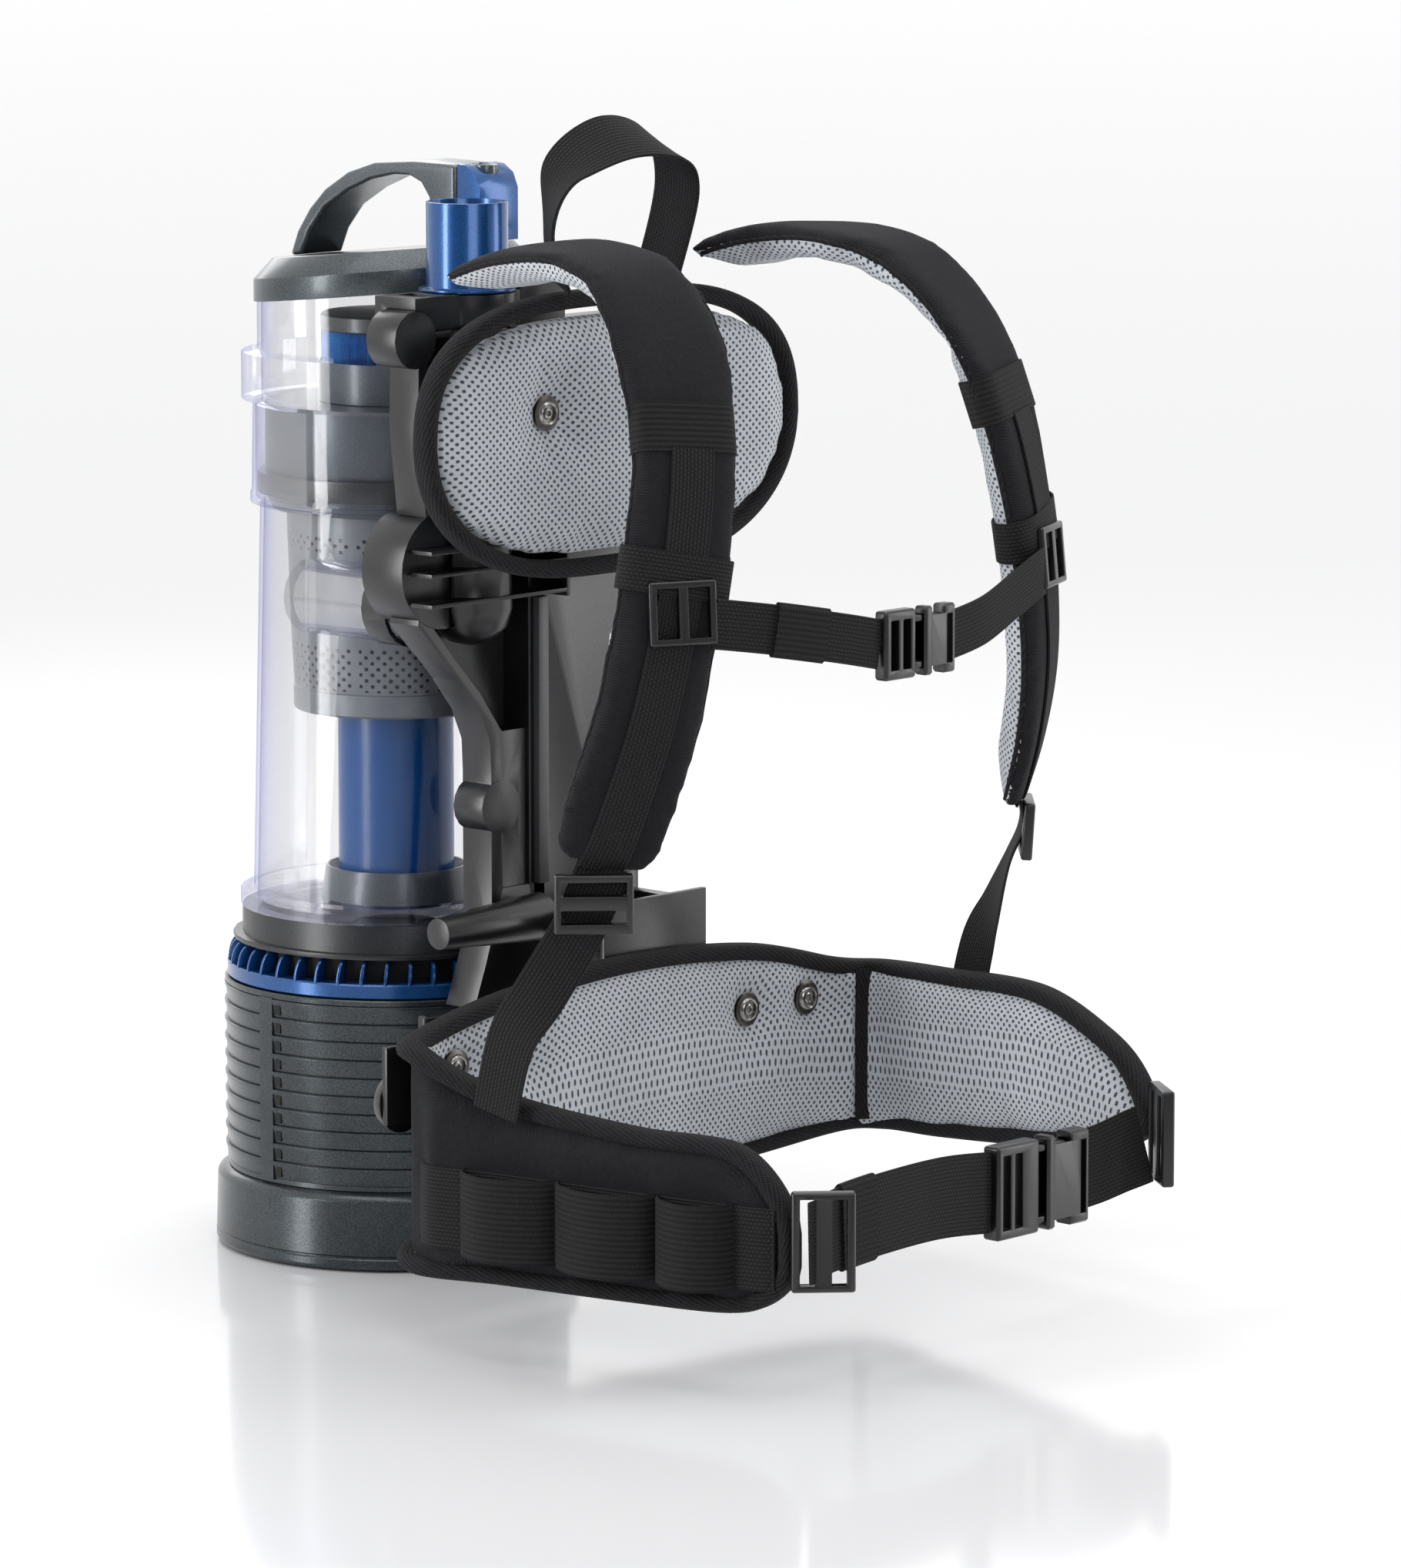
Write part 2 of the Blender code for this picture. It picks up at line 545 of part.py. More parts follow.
def duct_shape(radius, low, high, behind=0.0):
    """A round-ended upright: the duct, its cover in the frame, or the room cut for them."""
    dome = radius * 0.9
    profile = [(0, low - behind), (radius * 0.5, low + dome * 0.13 - behind),
               (radius * 0.87, low + dome * 0.5 - behind),
               (radius, low + dome - behind), (radius, high), (0, high)]
    return turned(profile, AXIS_STEPS, (DUCT_X, DUCT_Y), closed=False)


def elbow_space():
    return drum((ELBOW_X, ELBOW_Z), ELBOW_R + GAP, FRAME_FRONT_Y - GAP, FRAME_BACK_Y + 0.02, steps=32)


def back_frame():
    """Moulded back frame: a tray open to the front, with a duct cover, bosses, ribs and the latch's fork."""
    obj = finish("back_frame", prism(FRAME_OUTLINE, FRAME_FRONT_Y, FRAME_BACK_Y), BLACK, smooth=False)
    left = SPINE_LEFT_X + RIM_W
    floor = FRAME_BACK_Y - FRAME_WALL
    pocket = [(-0.1000, FRAME_TOP - 0.004), (-0.0120, FRAME_TOP - 0.004), (-0.0120, 0.345), (left, 0.345),
              (-0.0560, 0.372), (-0.0800, 0.397), (-0.0980, 0.418), (-0.0920, 0.478), (-0.1000, 0.540)]
    right = [(0.0120, FRAME_TOP - 0.004), (0.1000, FRAME_TOP - 0.004), (0.1000, 0.562), (0.0820, 0.470),
             (0.0120, 0.470)]
    shallow = box((left, FRAME_FRONT_Y - 0.01, 0.2460), (-0.0120, FRAME_FRONT_Y + 0.003, 0.346))
    cut(obj, prism(pocket, FRAME_FRONT_Y - 0.01, floor), prism(right, FRAME_FRONT_Y - 0.01, floor), shallow)
    places = [(-BOSS_X, BOSS_Z, BOSS_R), (BOSS_X, BOSS_Z, BOSS_R), (SPINE_LEFT_X + 0.008, 0.298, BOSS_R - 0.001),
              (PANEL_RIGHT_X, 0.201, 0.0135)]
    join(obj, *[drum((x, z), r, FRAME_FRONT_Y - STEP, FRAME_BACK_Y - STEP, steps=16) for x, z, r in places])
    join(obj, duct_shape(DUCT_R, DUCT_FOOT, FRAME_TOP - STEP))
    join(obj, *[box((-0.1180, -0.1500, z - 0.0012), (0.0050, FRAME_FRONT_Y - 0.002, z + 0.0012))
                for z in RIB_HEIGHTS])
    join(obj, box((0.0020, -0.1500, RIB_HEIGHTS[0] - 0.004),
                  (0.0050, FRAME_FRONT_Y + 0.002, RIB_HEIGHTS[-1] + 0.004)))
    join(obj, box((-0.0140, FRAME_FRONT_Y + 0.004, FRAME_TOP - 0.002), (0.0260, -0.1060, 0.6450)))
    groove = box((-0.0080, FRAME_FRONT_Y - 0.001, 0.2225), (0.0015, FRAME_FRONT_Y + 0.0015, 0.4860))
    fork = box((-0.0090, -0.1150, 0.6120), (0.0090, -0.0900, 0.6600))
    behind = box((-0.0900, FRAME_BACK_Y - STEP, 0.380), (-0.0200, -0.080, 0.620))
    canister = turned([(0, 0.150), (BASE_R - 0.004, 0.150), (BASE_R - 0.004, 0.2000), (0, 0.2000)], closed=False)
    pipe = duct_shape(PIPE_R + GAP, DUCT_FOOT + 0.0025, FRAME_TOP + 0.050)
    return cut(obj, elbow_space(), groove, fork, behind, canister, pipe)


def suction_path():
    """Pipe inside the frame's cover, elbow drum, hose inlet tube and the housing under it."""
    low, high = DUCT_FOOT + 0.003, FRAME_TOP
    pipe = finish("suction_duct", duct_shape(PIPE_R, low, high), BLACK)
    window = box((ELBOW_X - 0.02, DUCT_Y + 0.000, 0.436), (DUCT_X - 0.010, DUCT_Y + 0.016, 0.468))
    bore = PIPE_R - INLET_WALL
    inner = turned([(0, low + 0.006), (bore * 0.8, low + 0.014), (bore, low + 0.026), (bore, high + 0.01),
                    (0, high + 0.01)], AXIS_STEPS, (DUCT_X, DUCT_Y), closed=False)
    cut(pipe, inner, window)

    elbow = finish("inlet_elbow", drum((ELBOW_X, ELBOW_Z), ELBOW_R, FRAME_FRONT_Y, -0.0950, steps=32), BLACK)
    join(elbow, drum(inlet_centre(), BIN_INLET_R + 0.001, -0.0960, NECK_BACK_Y, steps=AXIS_STEPS))
    hollow = drum((ELBOW_X, ELBOW_Z), ELBOW_R - 0.003, FRAME_FRONT_Y + 0.003, -0.0980, steps=32)
    bore = drum(inlet_centre(), BIN_INLET_R - 0.002, -0.1000, NECK_BACK_Y + 0.01, steps=AXIS_STEPS)
    canister = turned([(0, 0.38), (BIN_R + 0.002, 0.38), (BIN_R + 0.002, 0.50), (0, 0.50)], closed=False)
    cover = box((DUCT_X - DUCT_R - GAP, -0.160, 0.400), (0, -0.0962, 0.500))
    cut(elbow, hollow, bore, cover, canister)

    low = FRAME_TOP + GAP
    block = finish("inlet_block", box((-0.1110, FRAME_FRONT_Y, low), (-0.0185, -0.0950, BLOCK_TOP_Z)), BLACK,
                   smooth=False)
    join(block, drum((INLET_X, INLET_Y), 0.0300, low + STEP, BLOCK_TOP_Z - STEP, axis="Z", steps=20))
    bore = drum((INLET_X, INLET_Y), INLET_R + GAP, low - 0.01, BLOCK_TOP_Z + 0.01, axis="Z", steps=32)
    slot = box((-0.0990, -0.1240, low + 0.006), (-0.0840, -0.1010, BLOCK_TOP_Z + 0.01))
    canister = turned([(0, 0.58), (LID_R + 0.003, 0.58), (LID_R + 0.003, 0.70), (0, 0.70)], closed=False)
    boss = drum((-BOSS_X, BOSS_Z), BOSS_R + GAP, FRAME_FRONT_Y - 0.002, FRAME_BACK_Y + GAP, steps=16)
    cut(block, bore, slot, canister, boss)

    profile = [(INLET_R, low), (INLET_R, BLOCK_TOP_Z + GAP), (INLET_R + 0.0050, BLOCK_TOP_Z + GAP),
               (INLET_R + 0.0050, BLOCK_TOP_Z + 0.0020), (INLET_R, BLOCK_TOP_Z + 0.0028), (INLET_R, INLET_TOP),
               (INLET_R - INLET_WALL, INLET_TOP), (INLET_R - INLET_WALL, low)]
    finish("hose_inlet_tube", turned(profile, 32, (INLET_X, INLET_Y)), BLUE)


def frame_details():
    """Strip in the spine, cross tube, and the bar under the frame."""
    inlay = box((-0.0077, FRAME_FRONT_Y - 0.0050, 0.2460), (0.0012, FRAME_FRONT_Y + 0.0012, 0.4280))
    finish("spine_strip", inlay, STRIP_GREY, smooth=False)
    front = FRAME_FRONT_Y - GAP
    tube = drum((front - 0.0155, 0.2280), 0.0100, -0.1100, -0.0180, axis="X", steps=20, top_radius=0.0155)
    finish("cross_tube", tube, BLACK)
    bar = box((-0.1000, FRAME_FRONT_Y + 0.0050, 0.1580), (0.1000, -0.1165, FRAME_FOOT - GAP), 0.0015)
    finish("foot_bar", bar, DARK_METALLIC, smooth=False)


def screw(name, place, radius=0.0060, metal=STEEL):
    """Domed screw head on the frame's front face."""
    y = FRAME_FRONT_Y - STEP - GAP
    bm = turned([(0, 0), (radius, 0), (radius, 0.0012), (radius * 0.6, 0.0028), (0, 0.0032)], 14, closed=False)
    turn = Matrix.Translation((place[0], y, place[1])) @ Matrix.Rotation(math.radians(90), 4, "X")
    bmesh.ops.transform(bm, matrix=turn, verts=bm.verts)
    return finish(name, bm, metal)


# ---------------------------------------------------------------- harness carriers
def carriers():
    """Plates on legs that hold the upper pad and the belt off the frame."""
    back = PAD_FACE_Y + PAD_T + GAP
    front = FRAME_FRONT_Y - GAP
    plate = box((-0.090, back, 0.490), (0.090, back + BRACKET_T, 0.585))
    upper = finish("upper_carrier", plate, BLACK, smooth=False)
    join(upper, *[box((x, back + 0.001, 0.510), (x + 0.012, front, 0.565)) for x in (-0.012, 0.060)])
    back = BELT_FACE_Y + BELT_T + GAP
    plate = box((-0.206, back, 0.128), (0.206, back + BRACKET_T, 0.176))
    lumbar = finish("lumbar_carrier", plate, BLACK, smooth=False)
    join(lumbar, box((-0.014, back, 0.170), (0.080, back + BRACKET_T, 0.240)),
         *[box((x, back + 0.001, 0.209), (x + 0.010, front, 0.236)) for x in (-0.012, 0.058)])
    for side, name in ((-1, "right"), (1, "left")):
        low = back + BRACKET_T + GAP
        knob = drum((side * 0.188, 0.140), 0.0200, low, low + 0.0085, steps=20, top_radius=0.0170)
        finish(f"belt_knob_{name}", knob, BLACK)


def rivet_pair(name, places, head_y, back_y):
    """Two snap rivets through a pad: heads on the wearer's side, a washer strip behind."""
    x0, x1 = sorted(x for x, _ in places)
    z = places[0][1]
    obj = finish(name, box((x0 - 0.007, back_y - 0.0012, z - 0.007), (x1 + 0.007, back_y, z + 0.007)), GUNMETAL,
                 smooth=False)
    for place in places:
        profile = [(0, head_y - 0.0020), (RIVET_R * 0.6, head_y - 0.0014), (RIVET_R, head_y),
                   (RIVET_R, head_y + 0.0012),
                   (0.0042, head_y + 0.0012), (0.0042, back_y - 0.0006), (0, back_y - 0.0006)]
        bm = turned(profile, 16, closed=False)
        swap = Matrix(((1, 0, 0, place[0]), (0, 0, 1, 0), (0, 1, 0, place[1]), (0, 0, 0, 1)))
        bmesh.ops.transform(bm, matrix=swap, verts=bm.verts)
        join(obj, bm)
    return obj


# ---------------------------------------------------------------- harness
def upper_pad():
    """Padded plate between the shoulder blades, wide above and rounded below."""
    outline = []
    low, high = PAD_FOOT, PAD_TOP
    for i in range(32):
        angle = math.tau * i / 32
        c, s = math.cos(angle), math.sin(angle)
        x = math.copysign(abs(c) ** 0.62, c)
        z = math.copysign(abs(s) ** 0.62, s)
        taper = 1.0 - 0.20 * max(0.0, -z) ** 1.6 - 0.10 * max(0.0, z) ** 2
        outline.append((PAD_HALF_W * x * taper, (low + high) / 2 + (high - low) / 2 * z))
    obj = finish("upper_pad", prism(outline, PAD_FACE_Y, PAD_FACE_Y + PAD_T), MESH, smooth=False)
    for side in (-1, 1):
        hole = drum((side * PAD_RIVET_X, PAD_RIVET_Z), 0.0050, PAD_FACE_Y - 0.01, PAD_FACE_Y + PAD_T + 0.01, steps=12)
        dimple = drum((side * PAD_RIVET_X, PAD_RIVET_Z), 0.0130, PAD_FACE_Y - 0.01, PAD_FACE_Y + 0.0085, steps=16)
        cut(obj, hole, dimple)
    back = PAD_FACE_Y + PAD_T
    cut(obj, box((-PAD_RIVET_X - 0.0075, back - 0.0015, PAD_RIVET_Z - 0.0075),
                 (PAD_RIVET_X + 0.0075, back + 0.01, PAD_RIVET_Z + 0.0075)))
    places = [(side * PAD_RIVET_X, PAD_RIVET_Z) for side in (-1, 1)]
    rivet_pair("pad_rivets", places, PAD_FACE_Y + 0.0065, PAD_FACE_Y + PAD_T)


def strap_stations(side):
    """Centre line of a shoulder strap: place, across, width, thickness. side 1 is the wearer's left."""
    route = ((0.110, -0.190, 0.6375, 0, 0.080), (0.110, -0.232, 0.650, 2, 0.080), (0.113, -0.286, 0.654, 6, 0.081),
             (0.122, -0.332, 0.640, 10, 0.080), (0.134, -0.365, 0.605, 15, 0.079), (0.144, -0.384, 0.552, 19, 0.078),
             (0.155, -0.391, 0.500, 21, 0.078), (0.164, -0.391, 0.457, 24, 0.077), (0.175, -0.385, 0.398, 29, 0.076),
             (0.182, -0.372, 0.350, 34, 0.074), (0.186, -0.354, 0.304, 38, 0.068))
    rows = []
    for x, y, z, twist, width in route:
        angle = math.radians(twist)
        across = Vector((math.cos(angle), side * math.sin(angle), 0))
        rows.append((Vector((side * x, y, z)), across, width, STRAP_T))
    return rows


def shoulder_straps():
    """Padded straps, the webbing on them, the adjusters and the webbing down to the belt."""
    for side, name in ((-1, "right"), (1, "left")):
        rows = strap_stations(side)
        finish(f"shoulder_strap_{name}", strip(rows, 22, corners=0.007), FABRIC, smooth=False)
        adjuster(f"strap_adjuster_{name}", side)
        low = [(Vector((side * x, y, z)), Vector((a, side * b, c)), WEB_W, WEB_T) for x, y, z, a, b, c in (
            (0.1985, -0.347, 0.262, 0.72, 0.69, 0.00), (0.2060, -0.326, 0.226, 0.50, 0.86, 0.05),
            (0.2125, -0.308, 0.196, 0.20, 0.97, 0.10), (0.2140, -0.296, 0.150, 0.12, 0.98, 0.12))]
        finish(f"lower_webbing_{name}", strip(low, 9), WEBBING, smooth=False)


def adjuster_frame(side):
    """Place and axes of a shoulder adjuster: centre, across, outward and up."""
    across = Vector((0.73, side * 0.68, 0)).normalized()
    up = Vector((-side * 0.08, -0.16, 1.0))
    up = (up - across * up.dot(across)).normalized()
    outward = across.cross(up)
    if outward.y > 0:
        outward = -outward
    return Vector((side * 0.1975, -0.3620, 0.2830)), across, outward, up


def placed(bm, centre, across, outward, up):
    """Move a shape made with X across, Y outward and Z up to its real place."""
    matrix = Matrix((across, outward, up)).transposed().to_4x4()
    bmesh.ops.transform(bm, matrix=Matrix.Translation(centre) @ matrix, verts=bm.verts)
    return bm


def adjuster(name, side):
    """Ladder-lock adjuster: a frame with two slots and a thumb tab."""
    frame = adjuster_frame(side)
    obj = finish(name, placed(box((-0.0235, -0.0035, -0.0180), (0.0235, 0.0035, 0.0180), 0.001), *frame), BLACK,
                 smooth=False)
    slots = [placed(box((-0.0195, -0.02, low), (0.0195, 0.02, low + 0.0085)), *frame) for low in (-0.0120, 0.0050)]
    return cut(obj, *slots)


def carry_loop():
    """Webbing loop above the pad to lift the cleaner by."""
    rows = [(-0.043, -0.188, 0.629, -0.50, -0.86, 0.0), (-0.055, -0.190, 0.664, -0.60, -0.76, -0.15),
            (-0.046, -0.194, 0.699, -0.35, -0.80, -0.48), (-0.006, -0.199, 0.718, 0.0, -0.76, -0.64),
            (0.038, -0.198, 0.711, 0.10, -0.86, -0.48), (0.056, -0.194, 0.684, 0.0, -0.98, -0.16),
            (0.044, -0.188, 0.629, 0.0, -1.0, 0.0)]
    stations = [(Vector(r[:3]), Vector(r[3:]), WEB_W, 0.0022) for r in rows]
    finish("carry_loop", strip(stations, 17), WEBBING, smooth=False)


BELT_ROUTE = ((-0.166, -0.490, 0.056, 0.132), (-0.173, -0.450, 0.046, 0.148), (-0.186, -0.380, 0.044, 0.150),
              (-0.200, -0.290, 0.043, 0.160), (-0.213, -0.232, 0.043, 0.182), (-0.190, -0.2100, 0.048, 0.186),
              (-0.110, -0.2054, 0.056, 0.200), (0.000, -0.2054, 0.060, 0.208), (0.110, -0.2054, 0.064, 0.201),
              (0.190, -0.2100, 0.069, 0.182), (0.213, -0.232, 0.070, 0.180), (0.203, -0.290, 0.074, 0.183),
              (0.192, -0.380, 0.082, 0.184), (0.182, -0.450, 0.092, 0.160), (0.176, -0.484, 0.100, 0.142))


def waist_belt():
    """Padded belt: a back panel and two wings round the wearer's hips, and the rivets that hold it."""
    rows = [(Vector((x, y, (low + high) / 2)), Vector((0, 0, 1)), high - low, BELT_T)
            for x, y, low, high in BELT_ROUTE]
    obj = finish("waist_belt", strip(rows, 43, corners=0.004), FABRIC, smooth=False)
    for side, name in ((-1, "right"), (1, "left")):
        places = [(side * x, BELT_RIVET_Z) for x in BELT_RIVETS_X]
        x0, x1 = sorted(x for x, _ in places)
        for place in places:
            cut(obj, drum(place, 0.0050, BELT_FACE_Y - 0.01, BELT_FACE_Y + BELT_T + 0.01, steps=12),
                drum(place, 0.0130, BELT_FACE_Y - 0.01, BELT_FACE_Y + 0.0065, steps=16))
        cut(obj, box((x0 - 0.0075, BELT_FACE_Y + BELT_T - 0.0015, BELT_RIVET_Z - 0.0075),
                     (x1 + 0.0075, BELT_FACE_Y + BELT_T + 0.01, BELT_RIVET_Z + 0.0075)))
        rivet_pair(f"belt_rivets_{name}", places, BELT_FACE_Y + 0.0045, BELT_FACE_Y + BELT_T)


def tool_loops():
    """One elastic band on the right wing, standing off it in three loops that hold nozzles."""
    wing = [Vector((x, y, 0.088)) for x, y, _, _ in BELT_ROUTE[4::-1]]
    path = [Vector(row) for row in blend_through([tuple(p) for p in wing], 41)]
    rows = []
    for k in range(LOOP_COUNT * 8 + 1):
        u = 0.17 + 0.62 * k / (LOOP_COUNT * 8)
        i = min(int(u * 40), 39)
        place = path[i].lerp(path[i + 1], u * 40 - i)
        along = (path[min(i + 2, 40)] - path[max(i - 2, 0)]).normalized()
        outward = Vector((along.y, -along.x, 0))
        outward = outward if outward.x < 0 else -outward
        rise = LOOP_RISE * math.sin(math.pi * (k % 8) / 8) ** 0.6
        rows.append((place + outward * (BELT_T / 2 + 0.0020 + rise), Vector((0, 0, 1)), 0.0520, WEB_T))
    return finish("tool_loops", strip(rows, len(rows)), WEBBING, smooth=False)


def buckle(prefix, centre, length, height, thick, prong):
    """Side-release buckle: male half, female half and the two prongs that are squeezed."""
    cx, cy, cz = centre
    half = length / 2
    male = box((cx - half, cy - thick / 2, cz - height / 2), (cx - 0.004, cy + thick / 2, cz + height / 2), 0.0015)
    obj = finish(f"{prefix}_buckle_male", male, BLACK, smooth=False)
    low, high = cz - height / 2 + 0.006, cz + height / 2 - 0.006
    slots = [box((cx - half + a, cy - thick, low), (cx - half + a + 0.007, cy + thick, high))
             for a in (0.005, 0.016)]
    cut(obj, *slots)
    female = box((cx + 0.004, cy - thick / 2, cz - height / 2), (cx + half, cy + thick / 2, cz + height / 2), 0.0015)
    obj = finish(f"{prefix}_buckle_female", female, BLACK, smooth=False)
    mouth = box((cx, cy - thick / 2 + 0.0018, cz - height / 2 + 0.0045),
                (cx + half - 0.011, cy + thick / 2 - 0.0018, cz + height / 2 - 0.0045))
    windows = [box((cx + 0.010, cy - thick, low), (cx + 0.010 + prong, cy + thick, low + 0.0065))
               for low in (cz - height / 2 - 0.001, cz + height / 2 - 0.0055)]
    slot = box((cx + half - 0.0085, cy - thick, low), (cx + half - 0.0035, cy + thick, high))
    cut(obj, mouth, *windows, slot)
    for side, name in ((1, "upper"), (-1, "lower")):
        z = cz + side * (height / 2 - 0.0048)
        low, high = (z - 0.0042, z) if side > 0 else (z, z + 0.0042)
        arm = box((cx - 0.0037, cy - thick / 2 + 0.0026, low),
                  (cx + 0.010 + prong * 0.8, cy + thick / 2 - 0.0026, high))
        finish(f"{prefix}_prong_{name}", arm, BLACK, smooth=False)


def chest_strap():
    """Chest strap in two halves, its sliders on the shoulder webbing, and its buckle."""
    buckle("chest", (0.002, -0.4390, 0.4270), 0.064, 0.042, 0.0100, 0.012)
    right = [(Vector((-0.139, -0.4190, 0.4485)), Vector((0, 0, 1)), CHEST_W, WEB_T),
             (Vector((-0.105, -0.4290, 0.4430)), Vector((0, 0, 1)), CHEST_W, WEB_T),
             (Vector((-0.060, -0.4370, 0.4345)), Vector((0, 0, 1)), CHEST_W, WEB_T),
             (Vector((-0.0345, -0.4390, 0.4290)), Vector((0, 0, 1)), CHEST_W, WEB_T)]
    left = [(Vector((0.0370, -0.4390, 0.4280)), Vector((0, 0, 1)), CHEST_W, WEB_T),
            (Vector((0.070, -0.4350, 0.4330)), Vector((0, 0, 1)), CHEST_W, WEB_T),
            (Vector((0.110, -0.4260, 0.4440)), Vector((0, 0, 1)), CHEST_W, WEB_T),
            (Vector((0.139, -0.4190, 0.4520)), Vector((0, 0, 1)), CHEST_W, WEB_T)]
    finish("chest_strap_right", strip(right, 9), WEBBING, smooth=False)
    finish("chest_strap_left", strip(left, 9), WEBBING, smooth=False)
    for side, name in ((-1, "right"), (1, "left")):
        angle = math.radians(24)
        across = Vector((math.cos(angle), side * math.sin(angle), 0))
        up = Vector((-side * 0.15, 0.03, 1)).normalized()
        up = (up - across * up.dot(across)).normalized()
        outward = across.cross(up)
        outward = outward if outward.y < 0 else -outward
        centre = Vector((side * 0.1610, -0.3910, 0.4560 if side < 0 else 0.4600)) + outward * 0.0165
        frame = (centre, across, outward, up)
        body = placed(box((-0.0215, -0.0025, -0.0190), (0.0215, 0.0025, 0.0190), 0.001), *frame)
        obj = finish(f"chest_slider_{name}", body, BLACK, smooth=False)
        cut(obj, *[placed(box((low, -0.02, -0.0150), (low + 0.0140, 0.02, 0.0150)), *frame)
                   for low in (-0.0170, 0.0030)])


def waist_straps():
    """Front belt: webbing from each wing's lock to the side-release buckle."""
    buckle("waist", (0.060, -0.4880, 0.0930), 0.086, 0.058, 0.0130, 0.016)
    right = [(Vector((-0.140, -0.5010, 0.0970)), Vector((0, 0, 1)), BELT_WEB_W, WEB_T),
             (Vector((-0.090, -0.4960, 0.0990)), Vector((0, 0, 1)), BELT_WEB_W, WEB_T),
             (Vector((-0.030, -0.4895, 0.0980)), Vector((0, 0, 1)), BELT_WEB_W, WEB_T),
             (Vector((0.0140, -0.4880, 0.0940)), Vector((0, 0, 1)), BELT_WEB_W, WEB_T)]
    left = [(Vector((0.1065, -0.4880, 0.0955)), Vector((0, 0, 1)), BELT_WEB_W, WEB_T),
            (Vector((0.1200, -0.4890, 0.0970)), Vector((0, 0, 1)), BELT_WEB_W, WEB_T),
            (Vector((0.1380, -0.4920, 0.1010)), Vector((0, 0, 1)), BELT_WEB_W, WEB_T)]
    finish("waist_strap_right", strip(right, 9), WEBBING, smooth=False)
    finish("waist_strap_left", strip(left, 7), WEBBING, smooth=False)
    for side, name, height in ((-1, "right", 0.0950), (1, "left", 0.1110)):
        across = Vector((0, 0, 1))
        along = Vector((side * 0.72, 0.69, 0)) if side < 0 else Vector((side * 0.60, 0.80, 0))
        outward = Vector((along.y * side, -along.x * side, 0))
        outward = outward if outward.y < 0 else -outward
        centre = Vector((side * 0.1600, -0.5110 if side < 0 else -0.5040, height))
        frame = (centre, across, outward, along)
        body = placed(box((-0.0300, -0.0040, -0.0190), (0.0300, 0.0040, 0.0190), 0.0012), *frame)
        obj = finish(f"waist_lock_{name}", body, BLACK, smooth=False)
        cut(obj, *[placed(box((-0.0258, -0.02, low), (0.0258, 0.02, low + 0.0090)), *frame)
                   for low in (-0.0140, 0.0050)])


base_foot()
motor_housing()
vent_ring()
bin_seat()
motor()
motor_parts()
dust_bin()
bin_insides()
upper_housing()
filter_cartridge()
lid()
handle()
release_parts()
back_frame()
suction_path()
frame_details()
screw("tab_screw", (PANEL_RIGHT_X + 0.002, 0.201))
carriers()
upper_pad()
shoulder_straps()
carry_loop()
waist_belt()
tool_loops()
chest_strap()
waist_straps()
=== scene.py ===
import math

import bpy
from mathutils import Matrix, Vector
from mathutils.bvhtree import BVHTree
import numpy as np
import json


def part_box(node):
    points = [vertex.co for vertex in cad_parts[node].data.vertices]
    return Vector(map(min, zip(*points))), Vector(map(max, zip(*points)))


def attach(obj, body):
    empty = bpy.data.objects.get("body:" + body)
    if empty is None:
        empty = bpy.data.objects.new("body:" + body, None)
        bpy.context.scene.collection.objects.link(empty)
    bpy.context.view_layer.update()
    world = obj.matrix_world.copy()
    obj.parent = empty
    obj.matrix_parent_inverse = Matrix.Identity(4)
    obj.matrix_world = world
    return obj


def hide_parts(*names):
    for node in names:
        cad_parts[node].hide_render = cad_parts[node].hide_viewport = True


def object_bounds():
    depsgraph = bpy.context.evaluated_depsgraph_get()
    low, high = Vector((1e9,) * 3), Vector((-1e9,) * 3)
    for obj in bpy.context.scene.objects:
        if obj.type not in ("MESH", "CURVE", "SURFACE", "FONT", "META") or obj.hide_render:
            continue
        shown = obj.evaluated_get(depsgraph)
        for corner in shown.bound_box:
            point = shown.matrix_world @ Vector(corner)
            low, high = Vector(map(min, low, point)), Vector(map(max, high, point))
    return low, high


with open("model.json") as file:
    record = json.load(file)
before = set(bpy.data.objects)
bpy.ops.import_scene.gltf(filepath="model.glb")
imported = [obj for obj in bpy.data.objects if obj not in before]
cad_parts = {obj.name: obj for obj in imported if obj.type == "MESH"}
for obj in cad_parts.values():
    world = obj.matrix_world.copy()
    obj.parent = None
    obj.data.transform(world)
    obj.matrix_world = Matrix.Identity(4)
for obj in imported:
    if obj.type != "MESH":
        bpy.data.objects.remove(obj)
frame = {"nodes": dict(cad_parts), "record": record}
cad_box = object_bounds()

# The studio: a long lens a little above the cleaner, off its right front corner, over a white polished floor.
# Two tall soft boxes draw the upright highlights on the drum, and a wide one hangs overhead.
camera_data = bpy.data.cameras.new("studio_camera")
camera_data.lens = 177.1
camera_data.sensor_width = 36.0
camera = bpy.data.objects.new("studio_camera", camera_data)
bpy.context.scene.collection.objects.link(camera)
camera.location = (-3.4578, -3.4578, 1.05)
camera.rotation_euler = (math.radians(81.21), 0.0, math.radians(-47.286))
bpy.context.scene.camera = camera


def deselect():
    """Nothing selected, so that an operator acts on one piece only."""
    bpy.ops.object.select_all(action="DESELECT")


def soft_box(name, place, target, wide, tall, watts):
    """A rectangular studio light turned towards a point."""
    data = bpy.data.lights.new(name, "AREA")
    data.shape = "RECTANGLE"
    data.size = wide
    data.size_y = tall
    data.energy = watts
    light = bpy.data.objects.new(name, data)
    bpy.context.scene.collection.objects.link(light)
    light.location = place
    light.rotation_euler = (Vector(place) - Vector(target)).to_track_quat("Z", "Y").to_euler()


